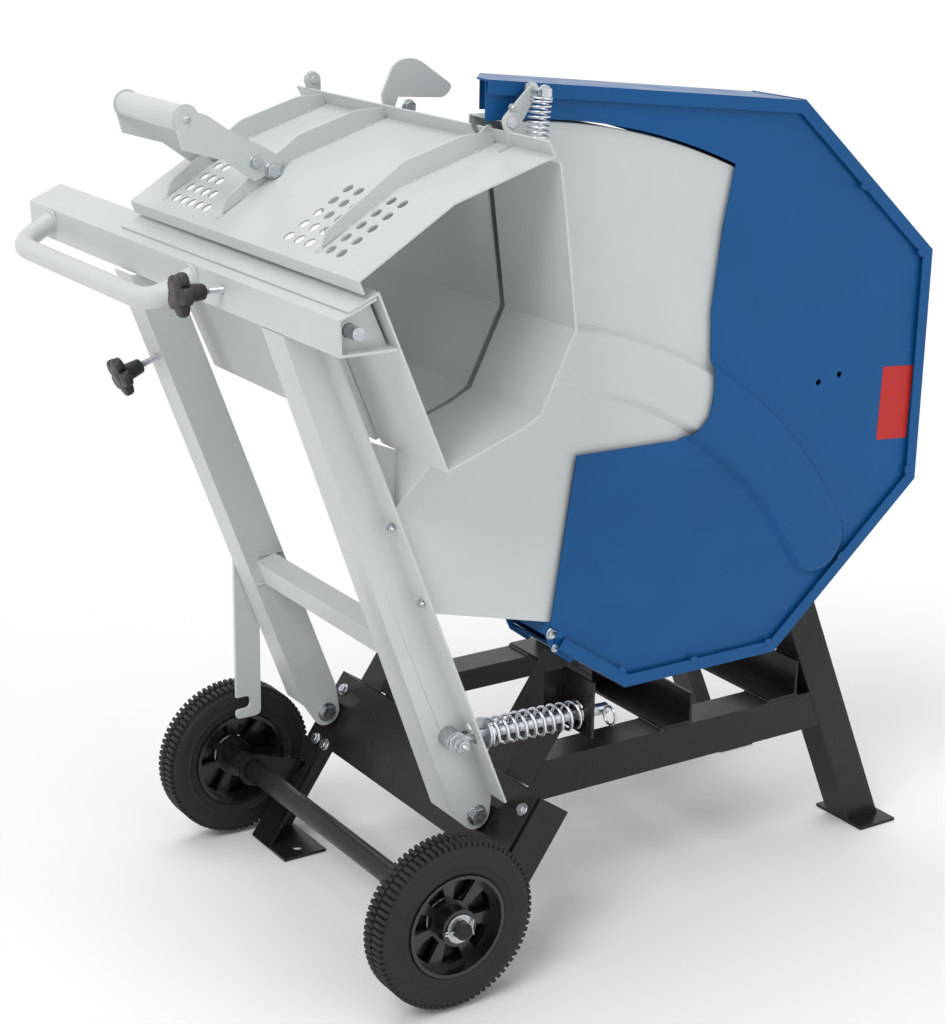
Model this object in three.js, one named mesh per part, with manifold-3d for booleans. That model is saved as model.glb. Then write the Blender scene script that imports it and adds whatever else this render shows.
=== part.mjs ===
// Firewood circular saw with a rocking log trough.
// Millimetres, +Z up. X runs along the logs and the wheel axle, Y from the operator to the back.
// The parts are drawn with the wheel axle above X = 0, Y = 0; the last lines centre the saw.

import * as THREE from 'three';
import { mergeVertices } from 'three/addons/utils/BufferGeometryUtils.js';
import Module from 'manifold-3d';

const wasm = await Module();
wasm.setup();

// Driving dimensions of the whole saw.
const gap = 0.3; // clearance between neighbouring parts
const overrun = 6; // how far a cutting tool runs past the material
const bladeDiameter = 505;
const bladeX = 147; // cutting plane
const bladeY = 400;
const bladeZ = 634;
const pivotY = 95; // rocker axis
const pivotZ = 172;
const rockerHeight = 650; // rocker axis to the top of its front beam
const troughNearX = 285;
const troughFarX = -245;
const beamFarX = -500;
const legNearX = 165; // outer face of the near rocker leg's web
const legFarX = -185; // outer face of the far rocker leg's web
const housingNearX = 196;
const housingFarX = 98;
const housingReach = 326; // blade axis to the back of the housing
const housingRise = 334; // blade axis to the top of the housing
const guardRadius = 795; // rocker axis to the top of the moving guard
const frameNearX = 150;
const frameFarX = -185;
const beamTopZ = 207;
const axleZ = 105;
const wheelRadius = 100;
const wheelWidth = 40;
const wheelMiddleX = 261;
const motorRadius = 70;

// Finishes.
function finish(color, roughness, metalness) {
  return () => new THREE.MeshStandardMaterial({ color, roughness, metalness });
}
const greyPaint = finish(0xd3d6d6, 0.45, 0.1);
const bluePaint = finish(0x245a94, 0.4, 0.1);
const blackPaint = finish(0x232323, 0.35, 0.2);
const zinc = finish(0xb9bcbf, 0.35, 0.9);
const chrome = finish(0xd8dadd, 0.15, 1);
const bladeSteel = finish(0xa9adb0, 0.3, 1);
const tyreRubber = finish(0x3a3a3a, 0.85, 0);
const rimPlastic = finish(0x161616, 0.4, 0);
const knobPlastic = finish(0x26221f, 0.5, 0);
const motorPaint = finish(0x3c3f42, 0.5, 0.3);
const boxPlastic = finish(0x1c1d1f, 0.55, 0);
const startGreen = finish(0x1d8a3c, 0.4, 0);
const stopRed = finish(0xb3221f, 0.4, 0);

// Axes of the drawing planes.
const alongX = new THREE.Vector3(1, 0, 0);
const alongY = new THREE.Vector3(0, 1, 0);
const alongZ = new THREE.Vector3(0, 0, 1);
const againstY = new THREE.Vector3(0, -1, 0);

function solidOf(geometry) {
  const bare = geometry.clone();
  bare.deleteAttribute('normal');
  bare.deleteAttribute('uv');
  const merged = mergeVertices(bare);
  const corners = merged.index.array;
  const triangles = [];
  for (let corner = 0; corner < corners.length; corner += 3) {
    const [a, b, c] = corners.slice(corner, corner + 3);
    if (a !== b && b !== c && c !== a) {
      triangles.push(a, b, c);
    }
  }
  const mesh = new wasm.Mesh({
    numProp: 3,
    vertProperties: new Float32Array(merged.attributes.position.array),
    triVerts: new Uint32Array(triangles),
  });
  return new wasm.Manifold(mesh);
}

function joined(first, ...others) {
  return others.reduce((sum, other) => sum.add(other), first);
}

function without(first, ...others) {
  return others.reduce((rest, other) => rest.subtract(other), first);
}

function pathOf(points) {
  return points.map(([a, b]) => new THREE.Vector2(a, b));
}

function circle(a, b, radius, sides = 16) {
  const turn = (2 * Math.PI) / sides;
  const points = [];
  for (let side = 0; side < sides; side += 1) {
    points.push([a + radius * Math.cos(side * turn), b + radius * Math.sin(side * turn)]);
  }
  return points;
}

// Tightest convex outline round some points.
function wrapped(points) {
  const sorted = [...points].sort((p, q) => p[0] - q[0] || p[1] - q[1]);
  const turn = (o, p, q) => (p[0] - o[0]) * (q[1] - o[1]) - (p[1] - o[1]) * (q[0] - o[0]);
  const half = (list) => {
    const chain = [];
    list.forEach((point) => {
      while (chain.length > 1 && turn(chain[chain.length - 2], chain[chain.length - 1], point) <= 0) {
        chain.pop();
      }
      chain.push(point);
    });
    return chain.slice(0, -1);
  };
  return [...half(sorted), ...half(sorted.reverse())];
}

// Rounds the corners of an outline; a point is [a, b] or [a, b, corner radius].
function rounded(points, arcSteps = 5) {
  const result = [];
  points.forEach(([a, b, radius = 0], index) => {
    if (radius === 0) {
      result.push([a, b]);
      return;
    }
    const corner = new THREE.Vector2(a, b);
    const before = points[(index + points.length - 1) % points.length];
    const after = points[(index + 1) % points.length];
    const back = new THREE.Vector2(before[0], before[1]).sub(corner).normalize();
    const ahead = new THREE.Vector2(after[0], after[1]).sub(corner).normalize();
    const halfAngle = Math.acos(THREE.MathUtils.clamp(back.dot(ahead), -1, 1)) / 2;
    const reach = radius / Math.tan(halfAngle);
    const middle = back.clone().add(ahead).normalize().multiplyScalar(radius / Math.sin(halfAngle));
    const centre = corner.clone().add(middle);
    const start = corner.clone().addScaledVector(back, reach).sub(centre);
    const end = corner.clone().addScaledVector(ahead, reach).sub(centre);
    const sweep = Math.atan2(start.cross(end), start.dot(end));
    for (let step = 0; step <= arcSteps; step += 1) {
      const point = start.clone().rotateAround(new THREE.Vector2(), (sweep * step) / arcSteps);
      result.push([centre.x + point.x, centre.y + point.y]);
    }
  });
  return result;
}

// Moves an open line sideways, to its left as it runs.
function shifted(path, distance) {
  const points = pathOf(path);
  return points.map((point, index) => {
    const back = points[Math.max(index - 1, 0)];
    const ahead = points[Math.min(index + 1, points.length - 1)];
    const after = (index === points.length - 1 ? point.clone().sub(back) : ahead.clone().sub(point));
    const before = (index === 0 ? after.clone() : point.clone().sub(back));
    before.normalize();
    after.normalize();
    const left = new THREE.Vector2(-before.y - after.y, before.x + after.x).normalize();
    const widening = left.dot(new THREE.Vector2(-before.y, before.x));
    const moved = point.clone().addScaledVector(left, distance / widening);
    return [moved.x, moved.y];
  });
}

// Closed outline of bent sheet metal that grows to the left of its path.
function sheet(path, thickness) {
  return [...path, ...shifted(path, thickness).reverse()];
}

function prism(outline, holes, depth) {
  const shape = new THREE.Shape(pathOf(outline));
  shape.holes = holes.map((hole) => new THREE.Path(pathOf(hole)));
  return new THREE.ExtrudeGeometry(shape, { depth, bevelEnabled: false, steps: 1 });
}

// Plate drawn in Y and Z, thick along X.
function plateAcrossX(outline, fromX, toX, holes = []) {
  const matrix = new THREE.Matrix4().makeBasis(alongY, alongZ, alongX).setPosition(fromX, 0, 0);
  return solidOf(prism(outline, holes, toX - fromX).applyMatrix4(matrix));
}

// Plate drawn in X and Z, thick along Y.
function plateAcrossY(outline, fromY, toY, holes = []) {
  const matrix = new THREE.Matrix4().makeBasis(alongX, alongZ, againstY).setPosition(0, toY, 0);
  return solidOf(prism(outline, holes, toY - fromY).applyMatrix4(matrix));
}

// Plate drawn in X and Y, thick along Z.
function plateAcrossZ(outline, fromZ, toZ, holes = []) {
  return solidOf(prism(outline, holes, toZ - fromZ).translate(0, 0, fromZ));
}

function block(fromX, toX, fromY, toY, fromZ, toZ) {
  const geometry = new THREE.BoxGeometry(toX - fromX, toY - fromY, toZ - fromZ);
  return solidOf(geometry.translate((fromX + toX) / 2, (fromY + toY) / 2, (fromZ + toZ) / 2));
}

// Round bar between two points.
function rod(from, to, radius, sides = 16) {
  const direction = to.clone().sub(from);
  const geometry = new THREE.CylinderGeometry(radius, radius, direction.length(), sides);
  const turn = new THREE.Quaternion().setFromUnitVectors(alongY, direction.clone().normalize());
  const middle = from.clone().add(to).multiplyScalar(0.5);
  return solidOf(geometry.applyQuaternion(turn).translate(middle.x, middle.y, middle.z));
}

function rodAlongX(fromX, toX, y, z, radius, sides = 16) {
  return rod(new THREE.Vector3(fromX, y, z), new THREE.Vector3(toX, y, z), radius, sides);
}

// Body turned about a line along X; the profile holds [radius, x] pairs.
function turned(profile, y, z, sides = 32) {
  const points = pathOf(profile);
  const ordered = THREE.ShapeUtils.area(points) > 0 ? points : points.reverse();
  const geometry = new THREE.LatheGeometry(ordered, sides);
  const matrix = new THREE.Matrix4().makeBasis(alongY, alongX, alongZ.clone().negate());
  matrix.setPosition(0, y, z);
  return solidOf(geometry.applyMatrix4(matrix));
}

// Straight bar of a given section; the section's first axis lies along side.
function bar(section, from, to, side) {
  const direction = to.clone().sub(from);
  const depth = direction.length();
  direction.normalize();
  const up = direction.clone().cross(side).normalize();
  const matrix = new THREE.Matrix4().makeBasis(side, up, direction).setPosition(from);
  return solidOf(prism(section, [], depth).applyMatrix4(matrix));
}

// Tube or bar of round section along a curve.
function bentRod(curve, radius, steps, sides = 12) {
  const shape = new THREE.Shape(pathOf(circle(0, 0, radius, sides)));
  return solidOf(new THREE.ExtrudeGeometry(shape, { steps, extrudePath: curve, bevelEnabled: false }));
}

const washerShare = 2.1; // washer and bolt head, as shares of the bolt's radius
const headShare = 1.75;

// Hexagon bolt along X: shank from fromX to toX, head and washer at the end named by headX.
function hexBolt(fromX, toX, headX, y, z, radius) {
  const headHeight = radius;
  const washerHeight = radius / 3;
  const outwards = headX === toX ? 1 : -1;
  const sorted = (a, b) => [Math.min(a, b), Math.max(a, b)];
  const [washerFrom, washerTo] = sorted(headX, headX + outwards * washerHeight);
  const [headFrom, headTo] = sorted(washerFrom, headX + outwards * (washerHeight + headHeight));
  return joined(
    rodAlongX(fromX, toX, y, z, radius, 16),
    plateAcrossX(circle(y, z, radius * washerShare, 16), washerFrom, washerTo),
    plateAcrossX(circle(y, z, radius * headShare, 6), headFrom, headTo),
  );
}

// Places given as shares of the rocker's height, measured from its axis.
function fromPivot(shares) {
  return shares.map(([y, z]) => [pivotY + y * rockerHeight, pivotZ + z * rockerHeight]);
}

// Places given as shares of the housing's reach and rise, measured from the blade axis.
function fromBlade(shares) {
  return shares.map(([y, z]) => [bladeY + y * housingReach, bladeZ + z * housingRise]);
}

// A point at an angle from upright, in degrees towards the back, round the rocker axis.
function aboutPivot(radius, degrees) {
  const angle = THREE.MathUtils.degToRad(degrees);
  return [pivotY + radius * Math.sin(angle), pivotZ + radius * Math.cos(angle)];
}

function arcAboutPivot(radius, fromDegrees, toDegrees, steps) {
  const points = [];
  for (let step = 0; step <= steps; step += 1) {
    points.push(aboutPivot(radius, fromDegrees + ((toDegrees - fromDegrees) * step) / steps));
  }
  return points;
}

const saw = new THREE.Group();
const frameGroup = new THREE.Group();
const rockerGroup = new THREE.Group();
const lidGroup = new THREE.Group();
const driveGroup = new THREE.Group();
saw.add(frameGroup, rockerGroup, driveGroup);
rockerGroup.add(lidGroup);

function place(group, name, solid, material) {
  const result = solid.getMesh();
  const geometry = new THREE.BufferGeometry();
  const corners = new Float32Array(result.numVert * 3);
  for (let vertex = 0; vertex < result.numVert; vertex += 1) {
    for (let axis = 0; axis < 3; axis += 1) {
      corners[vertex * 3 + axis] = result.vertProperties[vertex * result.numProp + axis];
    }
  }
  geometry.setAttribute('position', new THREE.BufferAttribute(corners, 3));
  geometry.setIndex(new THREE.BufferAttribute(new Uint32Array(result.triVerts), 1));
  geometry.computeVertexNormals();
  const mesh = new THREE.Mesh(geometry, material());
  mesh.name = name;
  group.add(mesh);
  return mesh;
}

// Base frame: angle-iron legs and beams, painted black.
const angleWidth = 46;
const angleWall = 4;
const footWall = 4;
const footLength = 60;
const footWidth = 88;
const footHoleRadius = 7;
const stanceHalf = 228; // outer face of the front legs
const frontFootY = 8; // front edge of the front legs at the floor
const frontLegLength = 242;
const frontLegLean = 34.5; // degrees from upright
const panelWall = 3;
const panelWidth = 95;
const panelFlange = 32;
const panelEnd = 4; // from the end of the panel to the outer face of the leg
const rearFootY = 702;
const rearLegLean = 22.9;
const rearLegHeight = 352;
const sideBeamHeight = 50;
const crossBeamHeight = 48;
const crossBeamY = 594; // back face of the rear cross beam
const strutHeight = 125;
const lugRadius = 17;
const lugWall = 5;
const pivotBoltRadius = 6;
const boltClearance = 0.4;
const legWall = 3;

// Angle section with its corner at the origin.
function angleSection(width, wall, towardsX, towardsY, depth = width) {
  return [
    [0, 0],
    [towardsX * width, 0],
    [towardsX * width, towardsY * wall],
    [towardsX * wall, towardsY * wall],
    [towardsX * wall, towardsY * depth],
    [0, towardsY * depth],
  ];
}

function leaning(degrees) {
  const angle = THREE.MathUtils.degToRad(degrees);
  return new THREE.Vector3(0, Math.sin(angle), Math.cos(angle));
}

const frontUp = leaning(frontLegLean);
const frontOut = new THREE.Vector3(0, -frontUp.z, frontUp.y);
const frontTop = new THREE.Vector3(0, frontFootY, footWall).addScaledVector(frontUp, frontLegLength);

// A point by its height on the front legs' plane, from their top, and its distance in front of it.
function onFront(up, out) {
  const point = frontTop.clone().addScaledVector(frontUp, up).addScaledVector(frontOut, out);
  return [point.y, point.z];
}

function footPlate(fromX, toX, fromY, holeX) {
  const outline = [[fromX, fromY], [toX, fromY], [toX, fromY + footLength], [fromX, fromY + footLength]];
  const hole = circle(holeX, fromY + footLength / 2, footHoleRadius, 14);
  return plateAcrossZ(outline, 0, footWall, [hole]);
}

const farAway = 4 * rockerHeight; // larger than anything in the saw

function belowFoot() {
  return block(-farAway, farAway, -farAway, farAway, -farAway, footWall / 2);
}

// Sheet housing of the blade: outline from its open top front, round the back, to its front foot.
const housingShares = [
  [-0.988, 1.135], [0.337, 1.003], [1, 0.434], [1, -0.434], [0.337, -1], [-0.356, -1], [-0.656, -0.8],
];
const housingWall = 2;
const housingOutline = fromBlade(housingShares);

function housingSpace() {
  const outer = shifted(housingOutline, gap);
  const closing = [housingOutline[0][0], housingOutline[6][1]];
  return plateAcrossX([...outer, closing], housingFarX - gap, housingNearX + gap);
}

function frontLeg(side) {
  const cornerX = side * stanceHalf;
  const start = new THREE.Vector3(cornerX, frontTop.y, frontTop.z)
    .addScaledVector(frontUp, -frontLegLength - angleWidth);
  const end = new THREE.Vector3(cornerX, frontTop.y, frontTop.z);
  const iron = without(bar(angleSection(angleWidth, angleWall, -side, 1), start, end, alongX), belowFoot());
  const innerX = cornerX - side * footWidth;
  const plate = footPlate(
    Math.min(innerX, cornerX),
    Math.max(innerX, cornerX),
    frontFootY,
    innerX + (side * footWidth) / 4,
  );
  return joined(iron, plate);
}
place(frameGroup, 'front_leg_near', frontLeg(1), blackPaint);
place(frameGroup, 'front_leg_far', frontLeg(-1), blackPaint);

// Wide folded panel in front of the legs; its lugs carry the rocker.
const panelHalf = stanceHalf - panelEnd;
const flangeHalf = stanceHalf - angleWidth - gap;
const lugSeat = 2 * gap;
const lugNearX = legNearX - lugSeat - lugWall;
const lugFarX = legFarX - legWall - lugSeat - lugWall;
const pivotPoint = new THREE.Vector3(0, pivotY, pivotZ);
const pivotUp = pivotPoint.clone().sub(frontTop).dot(frontUp);

function panelStrip(fromUp, toUp, fromOut, toOut, half) {
  const outline = [
    onFront(fromUp, fromOut),
    onFront(toUp, fromOut),
    onFront(toUp, toOut),
    onFront(fromUp, toOut),
  ];
  return plateAcrossX(outline, -half, half);
}

function pivotLug(fromX) {
  const root = [
    onFront(pivotUp + lugRadius, gap + panelWall / 2),
    onFront(pivotUp - lugRadius, gap + panelWall / 2),
  ];
  const hole = circle(pivotY, pivotZ, pivotBoltRadius + boltClearance, 16);
  const outline = wrapped([...circle(pivotY, pivotZ, lugRadius, 24), ...root]);
  return plateAcrossX(outline, fromX, fromX + lugWall, [hole]);
}

const panelFront = gap + panelWall;
const frontPanel = joined(
  panelStrip(-panelWidth, 0, gap, panelFront, panelHalf),
  panelStrip(-panelWall, 0, -panelFlange, panelFront, flangeHalf),
  panelStrip(-panelWidth, panelWall - panelWidth, -panelFlange, panelFront, flangeHalf),
  pivotLug(lugNearX),
  pivotLug(lugFarX),
);
place(frameGroup, 'front_panel', frontPanel, blackPaint);

function pivotBolt(lugX, headX) {
  return hexBolt(lugX - pivotBoltRadius, headX, headX, pivotY, pivotZ, pivotBoltRadius);
}
place(frameGroup, 'pivot_bolt_near', pivotBolt(lugNearX, legNearX + legWall + gap), zinc);
place(frameGroup, 'pivot_bolt_far', pivotBolt(lugFarX, legFarX + gap), zinc);

// Struts in line with the front legs carry the housing.
function strut(cornerX, side) {
  const start = new THREE.Vector3(cornerX, frontTop.y, frontTop.z).addScaledVector(frontUp, gap);
  const end = start.clone().addScaledVector(frontUp, strutHeight / frontUp.z);
  return bar(angleSection(angleWidth, angleWall, -side, 1), start, end, alongX);
}
place(frameGroup, 'strut_near', without(strut(frameNearX, 1), housingSpace()), blackPaint);
place(frameGroup, 'strut_far', strut(frameFarX, -1), blackPaint);

// The back legs lean the other way.
const rearUp = leaning(-rearLegLean);
const rearBack = new THREE.Vector3(0, rearUp.z, -rearUp.y);
const rearFoot = new THREE.Vector3(0, rearFootY, footWall);
const rearFootOverhang = 23; // foot plate beyond the outer face of the leg

function onRear(up, back) {
  const point = rearFoot.clone().addScaledVector(rearUp, up).addScaledVector(rearBack, back);
  return [point.y, point.z];
}

function rearLeg(cornerX, side) {
  const start = rearFoot.clone().addScaledVector(rearUp, -angleWidth).setX(cornerX);
  const end = rearFoot.clone().addScaledVector(rearUp, rearLegHeight / rearUp.z).setX(cornerX);
  const iron = without(bar(angleSection(angleWidth, angleWall, -side, 1), start, end, alongX), belowFoot());
  const outerX = cornerX + side * rearFootOverhang;
  const innerX = outerX - side * footWidth;
  const plate = footPlate(
    Math.min(innerX, outerX),
    Math.max(innerX, outerX),
    rearFootY,
    innerX + (side * footWidth) / 4,
  );
  return joined(iron, plate);
}
place(frameGroup, 'rear_leg_near', without(rearLeg(frameNearX, 1), housingSpace()), blackPaint);
place(frameGroup, 'rear_leg_far', rearLeg(frameFarX, -1), blackPaint);

// Side beams run from the struts to the back legs, their ends cut to the slope of each.
function sideBeam(cornerX, side) {
  const section = angleSection(angleWidth, angleWall, -side, -1, sideBeamHeight);
  const placed = section.map(([x, z]) => [cornerX + x, beamTopZ + z]);
  const beam = plateAcrossY(placed, 0, farAway);
  const frontCut = [
    onFront(-farAway, -angleWidth - gap),
    onFront(farAway, -angleWidth - gap),
    onFront(farAway, farAway),
    onFront(-farAway, farAway),
  ];
  const rearCut = [
    onRear(-farAway, -gap),
    onRear(-farAway, farAway),
    onRear(farAway, farAway),
    onRear(farAway, -gap),
  ];
  return without(
    beam,
    plateAcrossX(frontCut, -farAway, farAway),
    plateAcrossX(rearCut, -farAway, farAway),
  );
}
place(frameGroup, 'side_beam_near', sideBeam(frameNearX, 1), blackPaint);
place(frameGroup, 'side_beam_far', sideBeam(frameFarX, -1), blackPaint);

// Rear cross beam: an upright angle iron on the side beams, against the back legs.
function crossIron(backY, height) {
  const bottomZ = beamTopZ + gap;
  const outline = [
    [backY, bottomZ],
    [backY, bottomZ + height],
    [backY - angleWall, bottomZ + height],
    [backY - angleWall, bottomZ + angleWall],
    [backY - angleWidth, bottomZ + angleWall],
    [backY - angleWidth, bottomZ],
  ];
  return plateAcrossX(outline, frameFarX, frameNearX);
}
place(frameGroup, 'rear_cross_beam', crossIron(crossBeamY, crossBeamHeight), blackPaint);

// Motor: coaxial with the blade, on a post that stands on its own bridge.
const motorNearX = 90;
const motorFarX = -90;
const motorFlangeRadius = 74;
const motorFlangeWall = 7;
const motorBridgeY = 424;
const motorBridgeHeight = 40;
const postFarX = -60;
const postNearX = 0;
const postDepth = 40;
const shaftRadius = 15;
const bearingClearance = 0.5;
const finCount = 18;
const finHeight = 5;
const finWall = 3;
place(frameGroup, 'motor_bridge', crossIron(motorBridgeY, motorBridgeHeight), blackPaint);

const bridgeFloorZ = beamTopZ + gap + angleWall + gap;
const postFrontY = bladeY - postDepth / 2;
const postOutline = [
  [postFarX, motorBridgeY - angleWall - gap],
  [postFarX, postFrontY - gap],
  [postNearX, postFrontY - gap],
  [postNearX, motorBridgeY - angleWall - gap],
  [postNearX - angleWall, motorBridgeY - angleWall - gap],
  [postNearX - angleWall, postFrontY + angleWall],
  [postFarX + angleWall, postFrontY + angleWall],
  [postFarX + angleWall, motorBridgeY - angleWall - gap],
];
const motorPost = without(
  plateAcrossZ(postOutline, bridgeFloorZ, bladeZ),
  rodAlongX(motorFarX, motorNearX, bladeY, bladeZ, motorRadius + gap, 36),
);
place(frameGroup, 'motor_post', motorPost, blackPaint);

const motorProfile = [
  [shaftRadius + bearingClearance, motorFarX],
  [motorRadius - finHeight, motorFarX],
  [motorRadius - finHeight, motorNearX],
  [motorFlangeRadius, motorNearX],
  [motorFlangeRadius, motorNearX + motorFlangeWall],
  [shaftRadius + bearingClearance, motorNearX + motorFlangeWall],
  [shaftRadius + bearingClearance, motorFarX],
];
const motorFins = [];
for (let fin = 0; fin < finCount; fin += 1) {
  const angle = (2 * Math.PI * (fin + 0.5)) / finCount;
  const outwards = new THREE.Vector3(0, Math.cos(angle), Math.sin(angle));
  const from = new THREE.Vector3(motorFarX, bladeY, bladeZ)
    .addScaledVector(outwards, motorRadius - 2 * finHeight);
  const section = [
    [-finWall / 2, 0],
    [finWall / 2, 0],
    [finWall / 2, 2 * finHeight],
    [-finWall / 2, 2 * finHeight],
  ];
  const across = outwards.clone().cross(alongX);
  const matrix = new THREE.Matrix4().makeBasis(across, outwards, alongX.clone()).setPosition(from);
  const depth = motorNearX - motorFarX;
  motorFins.push(solidOf(prism(section, [], depth).applyMatrix4(matrix)));
}
const motorBody = joined(turned(motorProfile, bladeY, bladeZ, 36), ...motorFins);
place(frameGroup, 'motor_body', motorBody, motorPaint);

const fanCoverDepth = 42;
const fanCoverWall = 2;
const fanCoverHole = 22;
const fanCoverFarX = motorFarX - gap - fanCoverDepth;
const fanCoverProfile = [
  [fanCoverHole, fanCoverFarX],
  [motorRadius, fanCoverFarX],
  [motorRadius, motorFarX - gap],
  [motorRadius - fanCoverWall, motorFarX - gap],
  [motorRadius - fanCoverWall, fanCoverFarX + fanCoverWall],
  [fanCoverHole, fanCoverFarX + fanCoverWall],
  [fanCoverHole, fanCoverFarX],
];
place(frameGroup, 'fan_cover', turned(fanCoverProfile, bladeY, bladeZ, 32), motorPaint);

// Switch box on the back of the motor, with a round power inlet below and two buttons.
const boxFarX = -65;
const boxNearX = 35;
const boxDepth = 68;
const boxHalfHeight = 46;
const boxWall = 3;
const buttonRadius = 11;
const buttonClearance = 0.4;
const buttonLength = 13;
const buttonProud = 6;
const buttonTravel = 3;
const buttonSpacing = 24;
const inletRadius = 21;
const inletWall = 3;
const inletDepth = 34;
const inletInside = 30;
const inletPinRadius = 2.5;
const inletPinCircle = 9;
const boxSeat = 0.9; // how far the box sinks between the motor's fins
const boxFrontY = bladeY + motorRadius + gap - boxSeat;
const boxMiddleY = boxFrontY + boxDepth / 2;
const boxBottomZ = bladeZ - boxHalfHeight;

function boxPocket(sideways) {
  const depth = buttonLength - buttonProud + buttonTravel + gap;
  return rodAlongX(
    boxFarX - overrun,
    boxFarX + depth,
    boxMiddleY + sideways * buttonSpacing / 2,
    bladeZ,
    buttonRadius + buttonClearance,
    24,
  );
}

const boxCorner = 6;
const boxOutline = rounded([
  [boxFrontY, boxBottomZ, boxCorner],
  [boxFrontY + boxDepth, boxBottomZ, boxCorner],
  [boxFrontY + boxDepth, bladeZ + boxHalfHeight, boxCorner],
  [boxFrontY, bladeZ + boxHalfHeight, boxCorner],
], 3);
const switchBox = without(plateAcrossX(boxOutline, boxFarX, boxNearX), boxPocket(-1), boxPocket(1));

function boxButton(sideways) {
  return rodAlongX(
    boxFarX - buttonProud,
    boxFarX - buttonProud + buttonLength,
    boxMiddleY + sideways * buttonSpacing / 2,
    bladeZ,
    buttonRadius,
    24,
  );
}
place(frameGroup, 'start_button', boxButton(-1), startGreen);
place(frameGroup, 'stop_button', boxButton(1), stopRed);

const inletMiddleX = (boxFarX + boxNearX) / 2;
const inletTopZ = boxBottomZ + inletWall;
const inletRing = plateAcrossZ(
  circle(inletMiddleX, boxMiddleY, inletRadius, 20),
  inletTopZ - inletDepth,
  inletTopZ,
);
const inletHollow = plateAcrossZ(
  circle(inletMiddleX, boxMiddleY, inletRadius - inletWall, 20),
  inletTopZ - inletDepth - overrun,
  inletTopZ - inletDepth + inletInside,
);
const inletPins = [0, 1, 2].map((pin) => {
  const angle = (2 * Math.PI * pin) / 3;
  const x = inletMiddleX + inletPinCircle * Math.cos(angle);
  const y = boxMiddleY + inletPinCircle * Math.sin(angle);
  return plateAcrossZ(
    circle(x, y, inletPinRadius, 8),
    inletTopZ - inletDepth + inletWall + inletWall,
    inletTopZ,
  );
});
place(frameGroup, 'switch_box', joined(switchBox, without(inletRing, inletHollow), ...inletPins), boxPlastic);

// Wheels and axle.
const axleRadius = 13.5;
const hubPinRadius = 10;
const hubOverhang = 2; // hub beyond each side of the tyre
const rimRadius = 61.5;
const rimWall = 4;
const hubRadius = 22;
const rimWebWall = 6;
const rimWindows = 7;
const windowShare = 0.62; // of the angle from one spoke to the next
const wheelFit = 0.4;
const washerRadius = 17;
const washerWall = 2.5;
const splitPinRadius = 2;
const axleBeyond = 11; // axle beyond the hub
const tyreShoulder = 7;
const tyreBulge = 3;
const wheelHalf = wheelWidth / 2;
const hubHalf = wheelHalf + hubOverhang;
const axleShoulderX = wheelMiddleX - hubHalf - gap;
const washerX = wheelMiddleX + hubHalf + gap;
const splitPinX = washerX + washerWall + gap + splitPinRadius;
const axleEndX = wheelMiddleX + hubHalf + axleBeyond;

const axleProfile = [
  [0, -axleEndX],
  [hubPinRadius, -axleEndX],
  [hubPinRadius, -axleShoulderX],
  [axleRadius, -axleShoulderX],
  [axleRadius, axleShoulderX],
  [hubPinRadius, axleShoulderX],
  [hubPinRadius, axleEndX],
  [0, axleEndX],
];
const splitPinHoles = [1, -1].map((side) => rod(
  new THREE.Vector3(side * splitPinX, -axleRadius, axleZ),
  new THREE.Vector3(side * splitPinX, axleRadius, axleZ),
  splitPinRadius + gap / 2,
  10,
));
place(frameGroup, 'axle', without(turned(axleProfile, 0, axleZ, 28), ...splitPinHoles), blackPaint);

// Clamps hold the axle in front of the legs.
const clampBaseLength = 44;
const clampBaseHalf = 18;
const clampWall = 5;
const clampBelow = 148; // middle of the clamp's base below the top of the leg
const clampLugRadius = 21;
const clampMiddleX = stanceHalf - angleWidth / 2;
const clampBoltRadius = 4;

function axleClamp(side) {
  const base = panelStrip(
    -clampBelow - clampBaseLength / 2,
    -clampBelow + clampBaseLength / 2,
    gap,
    gap + clampWall,
    clampBaseHalf,
  ).translate([side * clampMiddleX, 0, 0]);
  const root = [
    onFront(-clampBelow - clampBaseLength / 2, gap + clampWall / 2),
    onFront(-clampBelow + clampBaseLength / 2, gap + clampWall / 2),
  ];
  const lug = plateAcrossX(
    wrapped([...circle(0, axleZ, clampLugRadius, 28), ...root]),
    side * clampMiddleX - clampWall / 2,
    side * clampMiddleX + clampWall / 2,
  );
  const bore = rodAlongX(-farAway, farAway, 0, axleZ, axleRadius + gap, 28);
  return without(joined(base, lug), bore);
}
place(frameGroup, 'axle_clamp_near', axleClamp(1), blackPaint);
place(frameGroup, 'axle_clamp_far', axleClamp(-1), blackPaint);

// Tyres, spoked rims, washers and split pins.
const tyreProfile = [
  [rimRadius, -wheelHalf],
  [wheelRadius - tyreShoulder, -wheelHalf - tyreBulge / 3],
  [wheelRadius - tyreBulge, -wheelHalf + tyreBulge],
  [wheelRadius, -wheelHalf + tyreShoulder],
  [wheelRadius, wheelHalf - tyreShoulder],
  [wheelRadius - tyreBulge, wheelHalf - tyreBulge],
  [wheelRadius - tyreShoulder, wheelHalf + tyreBulge / 3],
  [rimRadius, wheelHalf],
  [rimRadius, -wheelHalf],
];
const rimOuter = rimRadius - gap;
const rimHalf = wheelHalf - gap;
const rimProfile = [
  [hubPinRadius + wheelFit, -hubHalf],
  [hubRadius, -hubHalf],
  [hubRadius, -rimWebWall / 2],
  [rimOuter - rimWall, -rimWebWall / 2],
  [rimOuter - rimWall, -rimHalf],
  [rimOuter, -rimHalf],
  [rimOuter, rimHalf],
  [rimOuter - rimWall, rimHalf],
  [rimOuter - rimWall, rimWebWall / 2],
  [hubRadius, rimWebWall / 2],
  [hubRadius, hubHalf],
  [hubPinRadius + wheelFit, hubHalf],
  [hubPinRadius + wheelFit, -hubHalf],
];

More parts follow.
